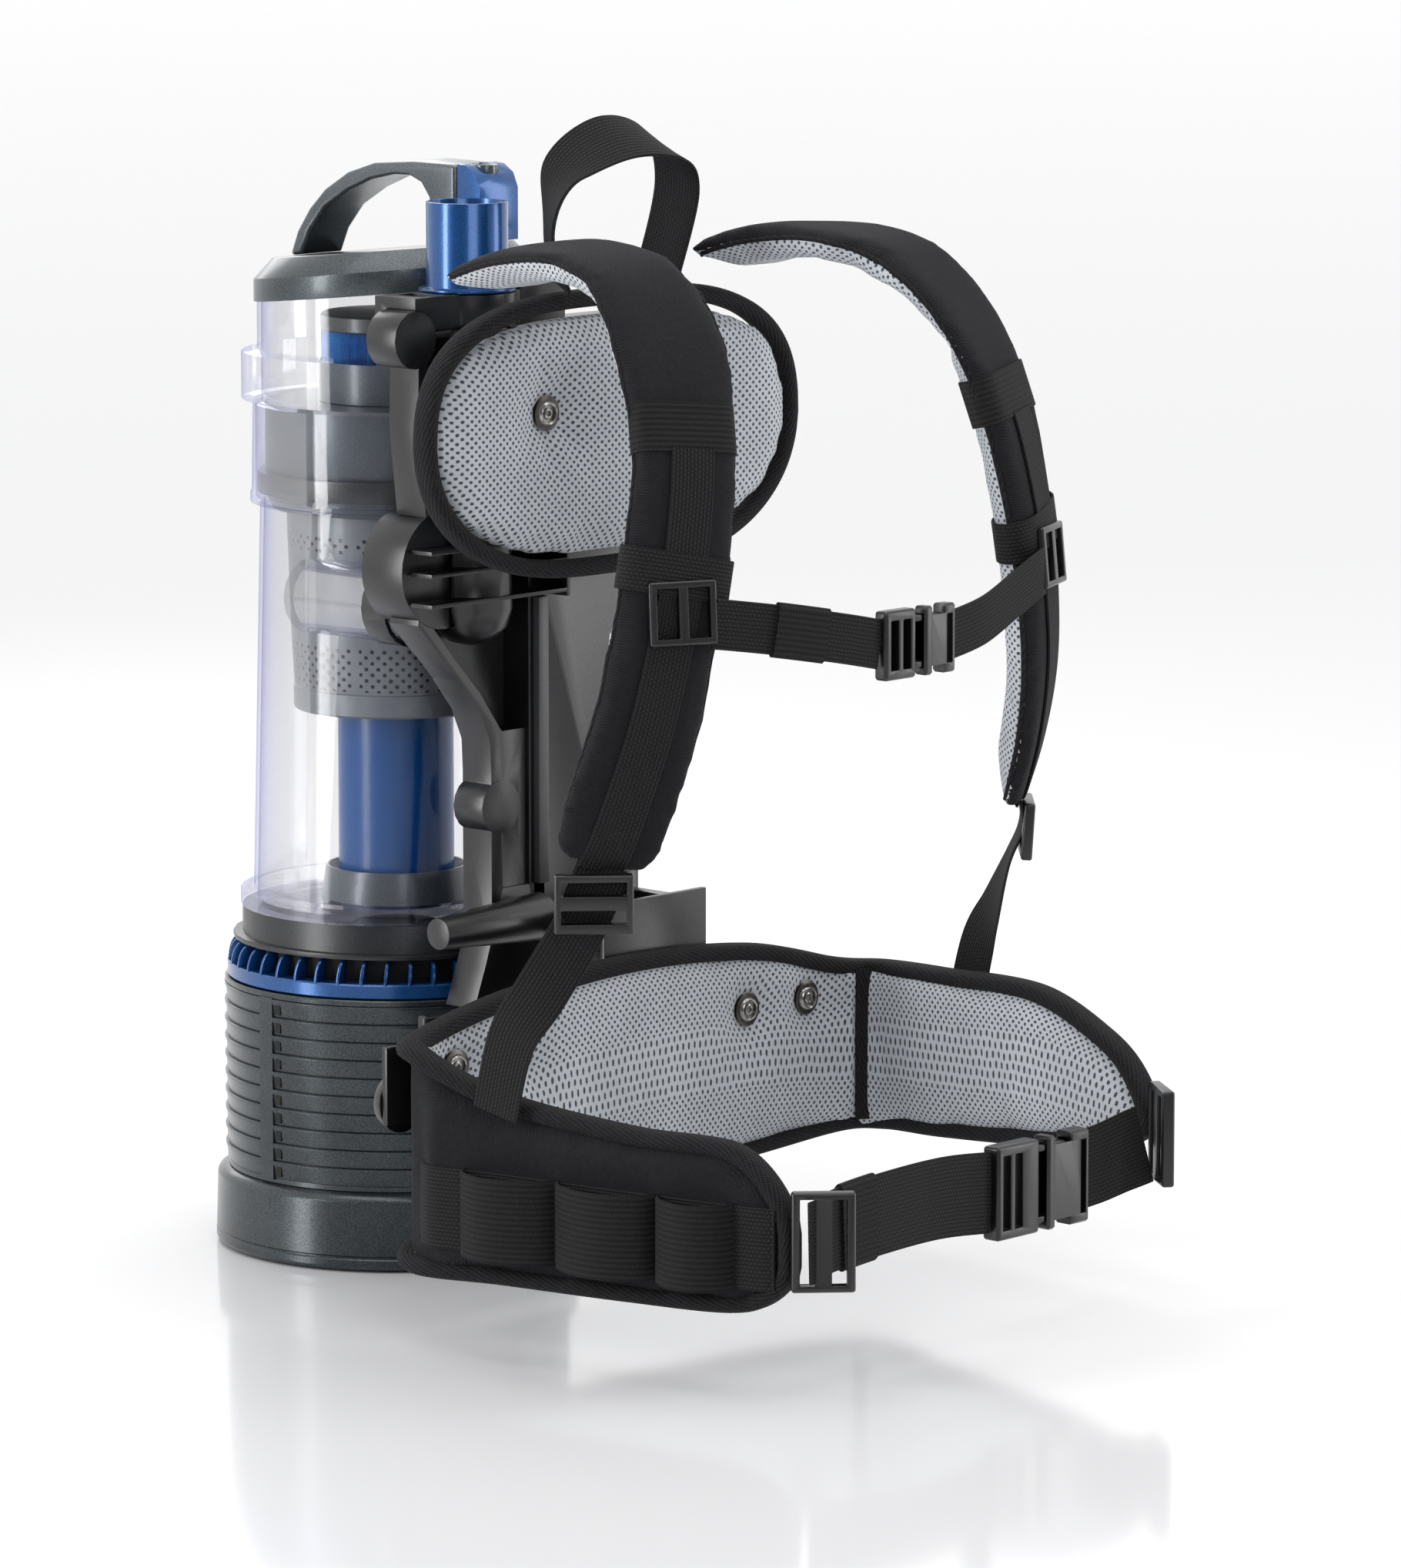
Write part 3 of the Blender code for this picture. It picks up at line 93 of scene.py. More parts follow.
middle = (cad_box[0] + cad_box[1]) / 2
soft_box("left_box", (-2.3, 0.7, 0.9), middle, 0.5, 2.2, 40)
soft_box("front_box", (-1.4, -2.6, 1.5), middle, 1.3, 1.3, 16)
soft_box("right_box", (1.9, -2.0, 1.0), middle, 0.7, 2.0, 16)
soft_box("top_box", (0.0, -0.3, 2.6), middle, 2.0, 2.0, 22)
soft_box("back_box", (1.2, 2.0, 1.6), middle, 1.4, 1.4, 12)
world = bpy.data.worlds.new("studio")
bpy.context.scene.world = world
bpy.context.scene.view_settings.view_transform = "Standard"
world.use_nodes = True


class Wire:
    """A socket of a material. Arithmetic on it adds the nodes that work it out."""

    def __init__(self, tree, socket=None):
        self.tree = tree
        self.socket = socket

    def node(self, kind, settings=None, sockets=None, out=0):
        """Any other node: its type, its settings, then the values or wires of its sockets."""
        made = self.tree.nodes.new(kind)
        for key, value in (settings or {}).items():
            setattr(made, key, value)
        for key, value in (sockets or {}).items():
            if isinstance(value, Wire):
                self.tree.links.new(value.socket, made.inputs[key])
            else:
                made.inputs[key].default_value = value
        return Wire(self.tree, made.outputs[out])

    def maths(self, operation, a, b=0.0, c=0.0):
        return self.node("ShaderNodeMath", {"operation": operation}, {0: a, 1: b, 2: c})

    def __add__(self, other):
        return self.maths("ADD", self, other)

    __radd__ = __add__

    def __sub__(self, other):
        return self.maths("SUBTRACT", self, other)

    def __rsub__(self, other):
        return self.maths("SUBTRACT", other, self)

    def __mul__(self, other):
        return self.maths("MULTIPLY", self, other)

    __rmul__ = __mul__

    def cosine(self):
        return self.maths("COSINE", self)

    def clamped(self, low, high):
        """0 below low, 1 above high, straight between them."""
        return self.node("ShaderNodeMapRange", {"clamp": True}, {"Value": self, "From Min": low, "From Max": high})

    def colour(self, dark, light):
        """From one colour where this is 0 to the other where it is 1."""
        return self.node("ShaderNodeMix", {"data_type": "RGBA"}, {0: self, 6: (*dark, 1.0), 7: (*light, 1.0)}, 2)

    def over(self, ground, top):
        """Another wire's colour where this is 0, and one plain colour where it is 1."""
        return self.node("ShaderNodeMix", {"data_type": "RGBA"}, {0: self, 6: ground, 7: (*top, 1.0)}, 2)

    def noise(self, scale, detail=2.0, roughness=0.5):
        """Fine unevenness over the wire's coordinates."""
        sockets = {"Vector": self, "Scale": scale, "Detail": detail, "Roughness": roughness}
        return self.node("ShaderNodeTexNoise", {}, sockets)

    def split(self):
        """The three parts of a vector."""
        made = self.node("ShaderNodeSeparateXYZ", {}, {0: self})
        return [Wire(self.tree, socket) for socket in made.socket.node.outputs]

    def relief(self, distance, strength=1.0):
        """A height turned into a normal."""
        return self.node("ShaderNodeBump", {}, {"Height": self, "Distance": distance, "Strength": strength})


def finish(name, coordinates="Object", **fixed):
    """A new material: itself, its coordinates, and the shader whose sockets take the rest."""
    made = bpy.data.materials.new(name)
    made.use_nodes = True
    shader = made.node_tree.nodes["Principled BSDF"]
    for key, value in fixed.items():
        shader.inputs[key.replace("_", " ")].default_value = value
    return made, Wire(made.node_tree).node("ShaderNodeTexCoord", out=coordinates), shader


def wear(shader, **varying):
    """Join what varies over the surface to the shader."""
    for key, wire in varying.items():
        wire.tree.links.new(wire.socket, shader.inputs[key.replace("_", " ")])


# The walls of the studio: white behind the cleaner, and darker on the side of the camera.
sky = Wire(world.node_tree).node("ShaderNodeTexCoord", out="Generated")
east, north, _ = sky.split()
behind = (east * 0.68 + north * 0.73).clamped(-0.75, -0.10)
walls = behind.colour((0.21, 0.21, 0.22), (1.10, 1.10, 1.10))
world.node_tree.links.new(walls.socket, world.node_tree.nodes["Background"].inputs["Color"])

# White polished table under the cleaner. It mirrors the lowest parts faintly.
deselect()
bpy.ops.mesh.primitive_grid_add(x_subdivisions=8, y_subdivisions=8, size=60.0, location=(0, 0, -0.0006))
floor = bpy.context.object
floor.name = "studio_floor"
white, place, shader = finish("white_table", Roughness=0.16)
shader.inputs["Base Color"].default_value = (0.76, 0.76, 0.77, 1.0)
wear(shader, Roughness=place.noise(3.0).clamped(0.0, 1.0) * 0.03 + 0.09)
floor.data.materials.append(white)


# Base foot: the heavy ring the cleaner stands on, moulded in dark metallic plastic with a fine fleck.
# A bright lip runs round just above the floor, and the top edge is chamfered back to the motor housing.
nodes = frame["nodes"]
home = {node: body for body, members in frame["record"]["behaviour"]["bodies"].items() for node in members}


def fleck_plastic(name, dark, light, metallic, rough, fleck_size=0.0007, coat=0.25):
    """Plastic with metal flakes in it under a clear skin."""
    made, place, shader = finish(name, Metallic=metallic, Coat_Weight=coat, Coat_Roughness=0.12)
    fleck = place.noise(1 / fleck_size, 1.0)
    cloud = place.noise(22.0, 2.0)
    height = place.noise(0.6 / fleck_size, 2.0)
    wear(shader, Base_Color=(fleck * 0.8 + cloud * 0.2).clamped(0.30, 0.72).colour(dark, light),
         Roughness=cloud * 0.08 + (rough - 0.04), Normal=height.relief(0.00006, 0.35))
    return made


def lathed(name, rings, steps=128, closed=False, sharp=28):
    """A turned piece: one ring of edges carried up and resized for each step of its profile."""
    deselect()
    radius, height = rings[0]
    bpy.ops.mesh.primitive_circle_add(vertices=steps, radius=max(radius, 1e-5), location=(0, 0, height))
    piece = bpy.context.object
    piece.name = name
    bpy.ops.object.transform_apply()
    bpy.ops.object.mode_set(mode="EDIT")
    bpy.ops.mesh.select_all(action="SELECT")
    for (r0, z0), (r1, z1) in zip(rings, rings[1:]):
        bpy.ops.mesh.extrude_region_move(TRANSFORM_OT_translate={"value": (0, 0, z1 - z0)})
        grow = max(r1, 1e-5) / max(r0, 1e-5)
        bpy.ops.transform.resize(value=(grow, grow, 1), center_override=(0, 0, z1))
    bpy.ops.mesh.select_all(action="SELECT")
    if closed:
        bpy.ops.mesh.select_all(action="DESELECT")
        bpy.ops.mesh.select_mode(type="EDGE")
        bpy.ops.mesh.select_non_manifold()
        bpy.ops.mesh.bridge_edge_loops()
        bpy.ops.mesh.select_mode(type="VERT")
        bpy.ops.mesh.select_all(action="SELECT")
    bpy.ops.mesh.remove_doubles(threshold=0.00003)
    bpy.ops.mesh.normals_make_consistent(inside=False)
    bpy.ops.object.mode_set(mode="OBJECT")
    bpy.ops.object.shade_smooth_by_angle(angle=math.radians(sharp))
    return piece


def fitted(piece, finish_made, *stands_for, body=None, slot=None):
    """Give a piece its material, and put it on the CAD body of the node it stands for."""
    if finish_made is not None:
        piece.data.materials.clear()
        piece.data.materials.append(finish_made)
    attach(piece, body or home[stands_for[0]])
    if stands_for:
        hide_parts(*stands_for)
    return piece


dark_metallic = fleck_plastic("dark_metallic", (0.012, 0.0155, 0.018), (0.085, 0.099, 0.108), 0.75, 0.28)
foot_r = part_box("base_foot")[1].x
foot_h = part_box("base_foot")[1].z
foot_rings = ((0, 0.0004), (foot_r - 0.006, 0.0004), (foot_r - 0.0015, 0.0012), (foot_r, 0.0035),
              (foot_r, 0.0075), (foot_r - 0.0010, 0.0085), (foot_r - 0.0010, 0.0092), (foot_r - 0.0002, 0.0102),
              (foot_r - 0.0012, foot_h - 0.0055), (foot_r - 0.0024, foot_h - 0.0035),
              (foot_r - 0.0062, foot_h - 0.0008),
              (foot_r - 0.0080, foot_h - 0.0002), (0, foot_h - 0.0002))
fitted(lathed("base_foot_moulding", foot_rings), dark_metallic, "base_foot")

# Motor housing: a drum of dark metallic plastic with ring-shaped louvres one above the other.
# Each louvre is a shallow shelf with a lit edge, and a flat upright band with a slot beside it joins them. Each slot
# is a near-black plate of painted shadow.
housing_low, housing_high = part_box("motor_housing")
housing_r = housing_high.x
louvres = 10
louvre_pitch = (housing_high.z - 0.004 - housing_low.z - 0.003) / louvres
wall_r = housing_r - 0.0018
rings = [(0.088, housing_low.z), (wall_r, housing_low.z), (wall_r, housing_low.z + 0.003)]
for k in range(louvres):
    z = housing_low.z + 0.003 + k * louvre_pitch
    rings += [(wall_r + 0.0004, z + louvre_pitch * 0.06), (housing_r - 0.0010, z + louvre_pitch * 0.62),
              (housing_r - 0.0001, z + louvre_pitch * 0.80), (housing_r, z + louvre_pitch * 0.93),
              (housing_r - 0.0006, z + louvre_pitch * 0.97), (wall_r, z + louvre_pitch * 0.985)]
rings += [(housing_r - 0.0008, housing_high.z - 0.0038), (housing_r - 0.0004, housing_high.z - 0.0010),
          (housing_r - 0.0012, housing_high.z - 0.0002), (0.088, housing_high.z - 0.0002)]
motor_shell = lathed("motor_housing_moulding", rings, steps=192)
fitted(motor_shell, dark_metallic, "motor_housing")
to_camera = math.atan2(-1.0, -1.0)
# Painted shadow: a near-black finish for plates that stand in the slots and just inside the vent fins, where there
# is only shade.
painted_gap_shade, place, shader = finish("slot_shadow", Roughness=0.8)
wear(shader, Base_Color=place.noise(400.0).colour((0.002, 0.002, 0.002), (0.008, 0.008, 0.009)))


def wall_patch(name, turn, half_turn, low, high, inner, outer):
    """A curved plate on the drum, between two heights, round part of its circle."""
    deselect()
    bpy.ops.mesh.primitive_grid_add(x_subdivisions=8, y_subdivisions=1, size=1.0)
    piece = bpy.context.object
    piece.name = name
    for vertex in piece.data.vertices:
        angle = turn + vertex.co.x * 2 * half_turn
        vertex.co = (math.cos(angle) * inner, math.sin(angle) * inner, low + (vertex.co.y + 0.5) * (high - low))
    bpy.ops.object.mode_set(mode="EDIT")
    bpy.ops.mesh.select_all(action="SELECT")
    bpy.ops.mesh.extrude_region_move(TRANSFORM_OT_translate={"value": (0, 0, 0)})
    grow = outer / inner
    bpy.ops.transform.resize(value=(grow, grow, 1), center_override=(0, 0, 0))
    bpy.ops.mesh.select_all(action="SELECT")
    bpy.ops.mesh.normals_make_consistent(inside=False)
    bpy.ops.object.mode_set(mode="OBJECT")
    return piece


for k in range(4):
    turn = to_camera - math.radians(49) + k * math.tau / 4
    band = wall_patch(f"housing_band_{k}", turn, 0.055, housing_low.z + 0.002, housing_high.z - 0.0035,
                      wall_r - 0.001, housing_r - 0.0002)
    fitted(band, dark_metallic, body="machine", slot="dark_metallic_plastic")
    for n in range(louvres):
        z = housing_low.z + 0.003 + n * louvre_pitch
        # Painted shadow: a near-black plate stands in each slot.
        slot_shade_patch = wall_patch(f"housing_slot_shade_{k}_{n}", turn + 0.095, 0.020, z + louvre_pitch * 0.12,
                         z + louvre_pitch * 0.72, wall_r - 0.001, housing_r - 0.0006)
        fitted(slot_shade_patch, painted_gap_shade, body="machine", slot="black_plastic")

# Vent ring: blue metallic plastic. A smooth band carries a ring of thin curved fins that lean in under the deck.
# Warm air leaves between them; a near-black cylinder just inside the fins paints the shade in the gaps.
blue_metallic = fleck_plastic("blue_metallic", (0.002, 0.034, 0.130), (0.006, 0.100, 0.340), 0.50, 0.26, coat=0.5)
vent_low, vent_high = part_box("vent_ring")
vent_r = vent_high.x
band_top = vent_low.z + 0.0095
vent_rings = ((0.0985, vent_low.z + 0.0002), (vent_r - 0.0008, vent_low.z + 0.0002), (vent_r, vent_low.z + 0.0010),
              (vent_r, band_top - 0.0010), (vent_r - 0.0010, band_top), (0.0990, band_top + 0.0003))
fitted(lathed("vent_band", vent_rings, closed=True), blue_metallic, "vent_ring")
# Painted shade: a near-black cylinder behind the fins darkens the gaps between them.
vent_core_painted_shade = lathed("vent_core_painted_shade", ((0.0965, vent_low.z + 0.0003), (0.0965, vent_high.z - 0.0002)), steps=96)
fitted(vent_core_painted_shade, painted_gap_shade, body="machine", slot="black_plastic")
deselect()
bpy.ops.mesh.primitive_grid_add(x_subdivisions=1, y_subdivisions=7, size=1.0)
first_fin = bpy.context.object
first_fin.name = "vent_fin_0"
for vertex in first_fin.data.vertices:
    t = vertex.co.y + 0.5
    outer = vertex.co.x > 0
    arch = math.sin(t * math.pi / 2)
    radius = (vent_r - 0.0003 - 0.0075 * (1 - math.cos(t * math.pi / 2))) if outer else 0.0970
    vertex.co = (radius, 0.0012 * arch, band_top - 0.001 + (vent_high.z - band_top) * arch)
bpy.ops.object.modifier_add(type="SOLIDIFY")
first_fin.modifiers[0].thickness = 0.0021
first_fin.modifiers[0].offset = 0.0
bpy.ops.object.modifier_apply(modifier=first_fin.modifiers[0].name)
bpy.ops.object.modifier_add(type="BEVEL")
first_fin.modifiers[0].width = 0.0006
first_fin.modifiers[0].segments = 2
bpy.ops.object.modifier_apply(modifier=first_fin.modifiers[0].name)
bpy.ops.object.shade_smooth_by_angle(angle=math.radians(35))
fins = 44
fitted(first_fin, blue_metallic, body="machine", slot="blue_metallic_plastic")
for k in range(1, fins):
    fin = first_fin.copy()
    fin.data = first_fin.data.copy()
    fin.name = f"vent_fin_{k}"
    bpy.context.scene.collection.objects.link(fin)
    c, s = math.cos(math.tau * k / fins), math.sin(math.tau * k / fins)
    for vertex in fin.data.vertices:
        x, y, z = vertex.co
        vertex.co = (c * x - s * y, s * x + c * y, z)
    fitted(fin, blue_metallic, body="machine", slot="blue_metallic_plastic")


# Deck under the bin: dark plastic with a fine spark-worn texture, from the CAD solid with its edges rounded.
def textured_plastic(name, dark, light, rough, grain=0.0011, depth=0.00012, metallic=0.0):
    """Plastic from a mould with an etched face, which glitters a little."""
    made, place, shader = finish(name, Metallic=metallic, Specular_IOR_Level=0.6)
    height = place.noise(1 / grain, 3.0, 0.6)
    cloud = place.noise(14.0, 3.0)
    wear(shader, Base_Color=(height * 0.6 + cloud * 0.4).clamped(0.35, 0.70).colour(dark, light),
         Roughness=cloud * 0.10 + (rough - 0.05), Normal=height.relief(depth, 0.7))
    return made


def moulded(node, made, edge=0.0007, sharp=32, segments=2):
    """A CAD solid's copy, its triangles merged into whole faces and its edges rounded."""
    deselect()
    piece = nodes[node].copy()
    piece.data = nodes[node].data.copy()
    for key in list(piece.keys()):
        del piece[key]
    piece.parent = None
    piece.name = f"{node}_moulding"
    bpy.context.scene.collection.objects.link(piece)
    bpy.context.view_layer.objects.active = piece
    piece.select_set(True)
    bpy.ops.mesh.customdata_custom_splitnormals_clear()
    bpy.ops.object.mode_set(mode="EDIT")
    bpy.ops.mesh.select_all(action="SELECT")
    bpy.ops.mesh.remove_doubles(threshold=0.000008)
    bpy.ops.mesh.dissolve_limited(angle_limit=math.radians(0.6))
    bpy.ops.object.mode_set(mode="OBJECT")
    if edge:
        bevel = piece.modifiers.new("edges", "BEVEL")
        bevel.width = edge
        bevel.segments = segments
        bevel.limit_method = "ANGLE"
        bevel.angle_limit = math.radians(sharp)
        bevel.miter_outer = "MITER_ARC"
        bpy.ops.object.modifier_apply(modifier=bevel.name)
    bpy.ops.object.shade_smooth_by_angle(angle=math.radians(sharp))
    return fitted(piece, made, node)


deck_black = textured_plastic("deck_plastic", (0.006, 0.0065, 0.0075), (0.028, 0.030, 0.033), 0.33, metallic=0.15)
moulded("bin_seat", deck_black, 0.0006)

# Clear bin, its wall faintly violet where it is seen edge on, with the tangent air inlet blown out of its side.
# The same clear plastic makes the upper housing.
clear = bpy.data.materials.new("clear_polycarbonate")
clear.use_nodes = True
tree = clear.node_tree
glaze = tree.nodes["Principled BSDF"]
glaze.inputs["Metallic"].default_value = 1.0
glaze.inputs["Roughness"].default_value = 0.06
start = Wire(tree)
facing = start.node("ShaderNodeLayerWeight", {}, {"Blend": 0.30}, "Facing")
edge_on = facing * facing * facing
wear(glaze, Base_Color=edge_on.colour((1.0, 1.0, 1.0), (0.50, 0.52, 0.80)))
tint = edge_on.colour((0.955, 0.955, 0.960), (0.50, 0.52, 0.78))
through = start.node("ShaderNodeBsdfTransparent", {}, {"Color": tint})
sheen = start.node("ShaderNodeFresnel", {}, {"IOR": 1.55})
mirror = Wire(tree, glaze.outputs[0])
joined = start.node("ShaderNodeMixShader", {}, {0: sheen.clamped(0.0, 2.8), 1: through, 2: mirror})
tree.links.new(joined.socket, tree.nodes["Material Output"].inputs["Surface"])
moulded("dust_bin", clear, 0)
moulded("upper_housing", clear, 0)

# Inside the bin: the blue tube up the middle in its grey cup, the perforated shroud, and the cyclone body above.
shroud_low, shroud_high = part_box("shroud")
shroud_r = 0.0650


def round_map(piece, radius):
    """Unroll a turned piece: metres round its axis, and metres up."""
    layer = piece.data.uv_layers.active or piece.data.uv_layers.new(name="unrolled")
    for polygon in piece.data.polygons:
        middle_turn = math.atan2(polygon.center.y, polygon.center.x)
        for loop in polygon.loop_indices:
            x, y, z = piece.data.vertices[piece.data.loops[loop].vertex_index].co
            turn = math.atan2(y, x)
            turn += math.tau * round((middle_turn - turn) / math.tau)
            layer.data[loop].uv = (turn * radius, z)


def dots(across, along, pitch_across, pitch_along):
    """Staggered spots: 1 at the middle of each."""
    return (across * (math.tau / pitch_across)).cosine() * (along * (math.tau / pitch_along)).cosine()


perforated, place, shader = finish("perforated_grey", "UV", Metallic=0.25, Coat_Weight=0.2)
across, up, _ = place.split()
holes = dots(across, up, 0.0078, 0.0074).clamped(0.52, 0.62)
lower_rows = up.clamped(0.3622, 0.3626) * (1 - up.clamped(0.3896, 0.3900))
upper_rows = up.clamped(0.4500, 0.4504) * (1 - up.clamped(0.4606, 0.4610))
groups = (across * (math.tau / 0.0511)).cosine().clamped(-0.955, -0.945)
# Painted shade: the holes are coloured near-black for the shade seen through them, and the same mask dents the
# surface.
painted_hole_shade = holes * (lower_rows + upper_rows) * groups
cloud = place.noise(60.0)
shade = cloud.clamped(0.3, 0.7).colour((0.150, 0.165, 0.185), (0.195, 0.212, 0.235))
wear(shader, Base_Color=painted_hole_shade.over(shade, (0.006, 0.007, 0.010)), Roughness=cloud * 0.1 + 0.36,
     Normal=(1 - painted_hole_shade).relief(0.0008, 1.0))
shroud_rings = ((shroud_r - 0.003, shroud_low.z + 0.0002), (shroud_r - 0.001, shroud_low.z + 0.0002),
                (shroud_r, shroud_low.z + 0.0015), (shroud_r + 0.0002, 0.3600), (shroud_r - 0.0006, 0.3606),
                (shroud_r - 0.0004, 0.3616), (shroud_r + 0.0012, 0.3900), (shroud_r + 0.0036, 0.4640),
                (shroud_r + 0.0038, shroud_high.z - 0.001), (shroud_r + 0.0006, shroud_high.z - 0.0003),
                (shroud_r - 0.002, shroud_high.z - 0.0003))
shroud = lathed("shroud_moulding", shroud_rings, closed=True)
round_map(shroud, shroud_r)
fitted(shroud, perforated, "shroud")
tube_blue = fleck_plastic("tube_blue", (0.000, 0.056, 0.215), (0.000, 0.088, 0.330), 0.0, 0.30, coat=0.15)
moulded("centre_tube", tube_blue, 0)
shroud_grey = fleck_plastic("cyclone_grey", (0.060, 0.073, 0.090), (0.110, 0.130, 0.155), 0.25, 0.34)
cup_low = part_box("centre_tube")[0].z + 0.004
cup_rings = ((0.0482, cup_low), (0.0478, cup_low + 0.002), (0.0455, cup_low + 0.019), (0.0448, cup_low + 0.0205),
             (0.0436, cup_low + 0.0205), (0.0430, cup_low + 0.019), (0.0376, cup_low + 0.010), (0.0376, cup_low))
fitted(lathed("tube_cup", cup_rings, closed=True), shroud_grey, body="bin_assembly", slot="shroud_grey_plastic")
moulded("cyclone_body", shroud_grey, 0)
filter_cap_dark = fleck_plastic("filter_cap", (0.03, 0.032, 0.036), (0.08, 0.083, 0.09), 0.2, 0.35)

# Seal ring: a dark band inside the clear wall, where the bin meets the upper housing.
seal_rings = ((0.0800, 0.4845), (0.0868, 0.4845), (0.0872, 0.4860), (0.0872, 0.4965), (0.0866, 0.4980),
              (0.0800, 0.4980))
fitted(lathed("bin_seal", seal_rings, closed=True), filter_cap_dark, body="bin_assembly", slot="black_plastic")

# Pleated filter: a ring of folded blue paper under a dark cap, with a grey sleeve round its foot.
pleat_low, pleat_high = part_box("pleated_filter")
paper, place, shader = finish("filter_paper", Sheen_Weight=0.2)
fibre = place.noise(1400.0, 3.0)
shade = (fibre * 0.5 + place.noise(90.0) * 0.5).clamped(0.35, 0.68)
wear(shader, Base_Color=shade.colour((0.006, 0.120, 0.420), (0.030, 0.300, 0.700)),
     Roughness=fibre * 0.2 + 0.65, Normal=fibre.relief(0.0002, 0.5))
deselect()
folds = 44
bpy.ops.mesh.primitive_cylinder_add(vertices=folds * 4, radius=0.0465, depth=pleat_high.z - pleat_low.z - 0.012,
                                    end_fill_type="NGON", location=(0, 0, (pleat_low.z + pleat_high.z) / 2 - 0.004))
pleats = bpy.context.object
pleats.name = "filter_pleats"
bpy.ops.object.transform_apply()
for vertex in pleats.data.vertices:
    turn = math.atan2(vertex.co.y, vertex.co.x)
    radius = 0.0428 + 0.0034 * math.cos(turn * folds)
    vertex.co.x, vertex.co.y = radius * math.cos(turn), radius * math.sin(turn)
bpy.ops.object.shade_smooth_by_angle(angle=math.radians(40))
fitted(pleats, paper, "pleated_filter")
cap_top = pleat_high.z - 0.001
sleeve_top = pleat_low.z + (pleat_high.z - pleat_low.z) * 0.45
sleeve_rings = ((0.0468, pleat_low.z + 0.0003), (0.0478, pleat_low.z + 0.0003), (0.0478, sleeve_top),
                (0.0468, sleeve_top))
sleeve = lathed("filter_sleeve", sleeve_rings, closed=True)
fitted(sleeve, shroud_grey, body="bin_assembly", slot="shroud_grey_plastic")
cap_rings = ((0, cap_top - 0.011), (0.0455, cap_top - 0.011), (0.0465, cap_top - 0.010),
             (0.0465, cap_top - 0.0015), (0.0450, cap_top), (0, cap_top))
fitted(lathed("filter_cap_ring", cap_rings), filter_cap_dark, body="bin_assembly", slot="black_plastic")

# Lid and handle: dark grey metallic plastic. The lid slopes up towards the wearer; the handle arches over it.
lid_grey = fleck_plastic("lid_grey", (0.020, 0.026, 0.030), (0.090, 0.105, 0.114), 0.6, 0.34)
handle_grey = fleck_plastic("handle_grey", (0.045, 0.054, 0.061), (0.150, 0.167, 0.182), 0.6, 0.30)
moulded("lid", lid_grey, 0.0005)
moulded("handle", handle_grey, 0.0030, sharp=62, segments=4)
moulded("handle_block", blue_metallic, 0.0028, sharp=40, segments=4)
moulded("thumb_button", handle_grey, 0.0006)
moulded("latch_tongue", blue_metallic, 0.0006)

# Hose inlet: glossy blue tube with a rolled rim, standing on its black block over the suction duct.
moulded("hose_inlet_tube", blue_metallic, 0.0005)
frame_black = textured_plastic("frame_plastic", (0.0015, 0.0016, 0.002), (0.015, 0.0155, 0.0175), 0.30)
for node in ("back_frame", "inlet_elbow", "inlet_block", "suction_duct", "cross_tube", "foot_bar", "upper_carrier",
             "lumbar_carrier"):
    moulded(node, frame_black, 0.0009 if node in ("back_frame", "cross_tube") else 0.0007)
strip_grey = textured_plastic("strip_plastic", (0.050, 0.051, 0.053), (0.095, 0.097, 0.100), 0.42)
moulded("spine_strip", strip_grey, 0.0006)

# Screws, rivets and knobs: zinc-plated steel, gunmetal rivets with a bright pressed ring, and moulded knobs.
def metal(name, dark, light, grain, spread, rough, height):
    """Bare metal with fine scratches."""
    made, place, shader = finish(name, Metallic=1.0)
    scratch = place.noise(grain, 4.0)
    wear(shader, Base_Color=scratch.colour(dark, light), Roughness=scratch * spread + rough,
         Normal=scratch.relief(height, 0.5))
    return made


steel = metal("zinc_steel", (0.42, 0.42, 0.43), (0.66, 0.66, 0.67), 500.0, 0.2, 0.16, 0.00005)
moulded("tab_screw", steel, 0.0004)
gunmetal = metal("gunmetal", (0.055, 0.050, 0.046), (0.120, 0.112, 0.104), 420.0, 0.2, 0.20, 0.00005)
for node in ("pad_rivets", "belt_rivets_right", "belt_rivets_left"):
    moulded(node, gunmetal, 0.0004)
ring_r = 0.0080
rivet_profile = ((0.0, 0.0002), (0.0017, 0.0002), (0.0019, 0.0016), (0.0027, 0.0019), (0.0035, 0.0014),
                 (0.0037, 0.0003), (0.0052, 0.0003), (0.0057, 0.0022), (0.0066, 0.0026), (0.0075, 0.0018),
                 (ring_r, 0.0005), (0.0106, 0.0002), (0.0109, 0.0))
bright_steel = metal("bright_steel", (0.22, 0.21, 0.20), (0.50, 0.48, 0.46), 500.0, 0.15, 0.14, 0.00004)
rivet_x, rivet_z = 0.0630, 0.5520
belt_rivets_x, belt_rivet_z = (0.1036, 0.1600), 0.1600
rivet_faces = [("pad_right", -rivet_x, rivet_z, "pad_rivets"), ("pad_left", rivet_x, rivet_z, "pad_rivets")]
for side, hand in ((-1, "right"), (1, "left")):
    for x, row in zip(belt_rivets_x, ("inner", "outer")):
        rivet_faces.append((f"belt_{hand}_{row}", side * x, belt_rivet_z, f"belt_rivets_{hand}"))
for name, x, z, node in rivet_faces:
    head = lathed(f"rivet_face_{name}", rivet_profile, steps=32)
    head_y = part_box(node)[0].y - 0.0002
    for vertex in head.data.vertices:
        a, b, h = vertex.co
        vertex.co = (x + a, head_y - h, z + b)
    fitted(head, bright_steel, body="machine", slot="gunmetal_rivet")
    head.data.materials.append(gunmetal)
    for polygon in head.data.polygons:
        if math.hypot(polygon.center.x - x, polygon.center.z - z) > ring_r:
            polygon.material_index = 1
